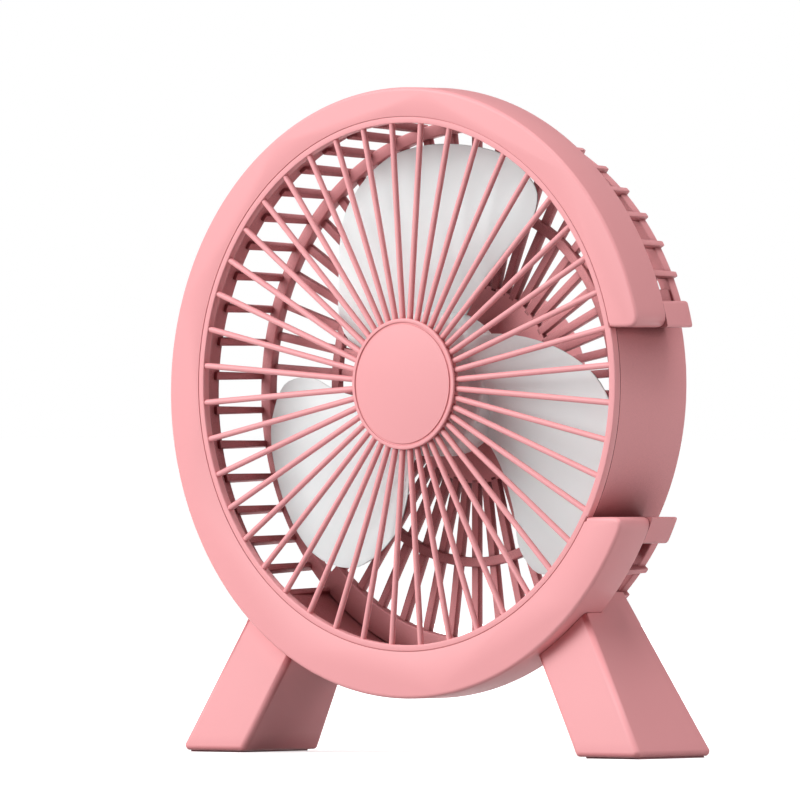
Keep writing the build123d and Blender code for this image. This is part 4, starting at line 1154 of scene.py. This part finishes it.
turned(bm, hub_profile, full_turn(4), closed=True)
hub = new_object("hub", bm, blade_white)
stands_for(joined("impeller_smooth", [blades, hub]), "rotor", "pale_blades", "impeller")

# %% [markdown]
# ## Screws
# The screws seen from behind are small pan heads with a cross recess. The screw is turned from one
# profile. The cross could be a bump, but at this size a real recess catches the light better, so two
# bars that widen towards the mouth cut it by Boolean. All its sizes follow from the shank's radius.

# %% A pan-head screw
HEAD_REACH, HEAD_HEIGHT, HEAD_DOME = 1.9, 1.3, 0.55
TIP_LENGTH, TIP_REACH = 0.6, 0.8
SCREW_SOFT, SCREW_SIDES = 0.08, 32
CROSS_REACH, CROSS_HALF, CROSS_FLOOR = 0.55, 0.13, 0.45
MOUTH_REACH, MOUTH_HALF, MOUTH_BEYOND = 0.6, 0.16, 1.0
CROSS_SOFT = 0.02


def pan_screw(name, shank, length):
    """A screw along the depth, head towards the back, with its seat at zero."""
    head, high = shank * HEAD_REACH, shank * HEAD_HEIGHT
    profile = rounded([
        (MIDDLE, -length, 0), (shank * TIP_REACH, -length), (shank, -length + TIP_LENGTH), (shank, 0),
        (head, 0), (head, high, high * HEAD_DOME), (MIDDLE, high, 0)], SCREW_SOFT)
    body = new_object(name, small_turned(profile, SCREW_SIDES), screw_steel)
    for turn in (0, 90):
        cross = (-head * CROSS_REACH, head * CROSS_REACH, head * CROSS_HALF, high * CROSS_FLOOR)
        mouth = (-head * MOUTH_REACH, head * MOUTH_REACH, head * MOUTH_HALF, high + MOUTH_BEYOND)
        arm = tapered_bar("arm", cross, mouth, screw_steel, CROSS_SOFT)
        arm.data.transform(Matrix.Rotation(radians(turn), 4, "Y"))
        cut = body.modifiers.new("cross", "BOOLEAN")
        cut.operation = "DIFFERENCE"
        cut.solver = "EXACT"
        cut.object = arm
        settled(body)
        bpy.data.objects.remove(arm)
    return body


LUG_SCREW, LUG_SCREW_LENGTH = 1.0, 8.0
WELL_SCREW, WELL_SCREW_LENGTH = 1.1, 16.4
lug_screw = pan_screw("lug_screw", LUG_SCREW, LUG_SCREW_LENGTH)
well_screw = pan_screw("well_screw", WELL_SCREW, WELL_SCREW_LENGTH)
print("screw faces", len(lug_screw.data.polygons), len(well_screw.data.polygons))

# %% [markdown]
# ### Screws in place
# Five screws sit in the lugs of the basket and three in the wells of the cover. The tree sets them at
# the places of the bosses and posts they go into, moved back to their seats. Each is turned
# differently, as screws are.

# %% Screws in place
COVER_BACK = 56.0


def screw_places(places, depth, first_turn, next_turn):
    """The same places moved back to the screws' seats, each with its own turn."""
    back = Vector((0, depth * MM, 0))
    return [(point + back, first_turn + next_turn * k, 1.0) for k, (point, _, _) in enumerate(places)]


lug_screws = set_at("lug_screws", lug_screw, screw_places(boss_places, LUG_BACK, 23, 37), screw_steel)
stands_for(lug_screws, "housing", "screw_steel", "frame_screws")
well_floor = COVER_BACK - WELL_SCREW * HEAD_HEIGHT
well_screws = set_at("well_screws", well_screw, screw_places(post_places, well_floor, 11, 52), screw_steel)
stands_for(well_screws, "housing", "screw_steel", "cover_screws")

# %% [markdown]
# ## Floor
# The fan stands on white with hardly a shadow. To the camera, the floor is a pale diffuse surface with
# a glow added, which is weaker near the fan so that its shadow stays. To light that bounces, it is a
# dim grey, so that it doesn't fill the shaded sides from below. A Light Path node chooses. The floor
# lies a hair below the pads, or their faces would flicker.

# %% Floor
FLOOR_DROP = 0.00005
FLOOR_HALF = 30
NEAR_FAN, FAR_FROM_FAN = 0.22, 0.6
GLOW_NEAR, FLOOR_PALE, FLOOR_DIM = 0.62, 0.86, 0.28
WHITE = (1, 1, 1)
white = Finish("floor_white")
path = white.tree.nodes.new("ShaderNodeLightPath")
distance = white.node("ShaderNodeVectorMath", {"operation": "LENGTH"}, {0: white.coords()}, out="Value")
far_off = white.node("ShaderNodeMapRange", None, {
    "Value": distance, "From Min": NEAR_FAN, "From Max": FAR_FROM_FAN})
glow_tone = white.mix(far_off, tone(WHITE, GLOW_NEAR), tone(WHITE))
glow = white.node("ShaderNodeEmission", None, {"Color": glow_tone, "Strength": 1.0}, out="Emission")
white.surface(Base_Color=tone(WHITE, FLOOR_PALE), Roughness=0.95)
pale = Value(white, white.shader.outputs[0])
seen = white.node("ShaderNodeAddShader", None, {0: glow, 1: pale}, out="Shader")
dim = white.node("ShaderNodeBsdfDiffuse", None, {"Color": tone(WHITE, FLOOR_DIM)}, out="BSDF")
seeing = ("Is Camera Ray", "Is Glossy Ray", "Is Transmission Ray")
camera_ray, glossy_ray, through_ray = (Value(white, path.outputs[kind]) for kind in seeing)
rays = camera_ray + glossy_ray + through_ray
choice = white.node("ShaderNodeMixShader", None, {0: rays, 1: dim, 2: seen}, out="Shader")
white.tree.links.new(choice.socket, white.output.inputs["Surface"])
bm = bmesh.new()
lowered = Matrix.Translation((0, 0, -FLOOR_DROP))
bmesh.ops.create_grid(bm, x_segments=2, y_segments=2, size=FLOOR_HALF, matrix=lowered)
floor = new_object("floor", bm, white.material, fix=False)
print("floor half width", FLOOR_HALF, "m")

# %% [markdown]
# ## World
# A bright world would light the inside of the basket from all sides and make it flat. So the world is
# white to the camera alone, and gives only a breath of light to everything else.

# %% World
WORLD_LIGHT = 0.05
world = bpy.data.worlds.new("studio")
bpy.context.scene.world = world
world.use_nodes = True
sky = world.node_tree
sky_path, sky_sum = sky.nodes.new("ShaderNodeLightPath"), sky.nodes.new("ShaderNodeMath")
sky_sum.operation = "MULTIPLY_ADD"
sky_sum.inputs[1].default_value = 1 - WORLD_LIGHT
sky_sum.inputs[2].default_value = WORLD_LIGHT
background = sky.nodes["Background"]
background.inputs["Color"].default_value = tone(WHITE)
sky.links.new(sky_path.outputs["Is Camera Ray"], sky_sum.inputs[0])
sky.links.new(sky_sum.outputs[0], background.inputs["Strength"])
print("world light", WORLD_LIGHT)

# %% [markdown]
# ## Lamps
# The light comes broadly from the upper left in front, so the side of the band falls to a deeper pink.
# One large soft lamp does that. A lamp above brightens the top of the band. A weak one on the right
# opens up the shaded side. It stands a little behind the face, so it doesn't shine in through the
# grille. One behind shows the back, and it is kept out of reflections, or it would glare on the ring.

# %% Lamps
LAMP_AIM = Vector((0, 0, 0.11))


def lamp(name, place, power, size):
    """A square soft lamp that faces the fan's middle."""
    data = bpy.data.lights.new(name, "AREA")
    data.energy = power
    data.size = size
    obj = placed(name, data)
    obj.location = place
    obj.rotation_mode = "QUATERNION"
    obj.rotation_quaternion = (LAMP_AIM - Vector(place)).to_track_quat("-Z", "Y")
    return obj


lamp("key", (-1.3, -2.1, 1.35), 90, 2.0)
lamp("top", (0.5, -0.1, 2.2), 22.5, 1.2)
lamp("fill", (2.4, 0.3, 0.5), 18, 0.9)
lamp("back", (-1.0, 2.4, 0.8), 45, 2.0).visible_glossy = False
bpy.context.scene.view_settings.view_transform = "Standard"
print("lamps", [light.name for light in bpy.data.lights])

# %% [markdown]
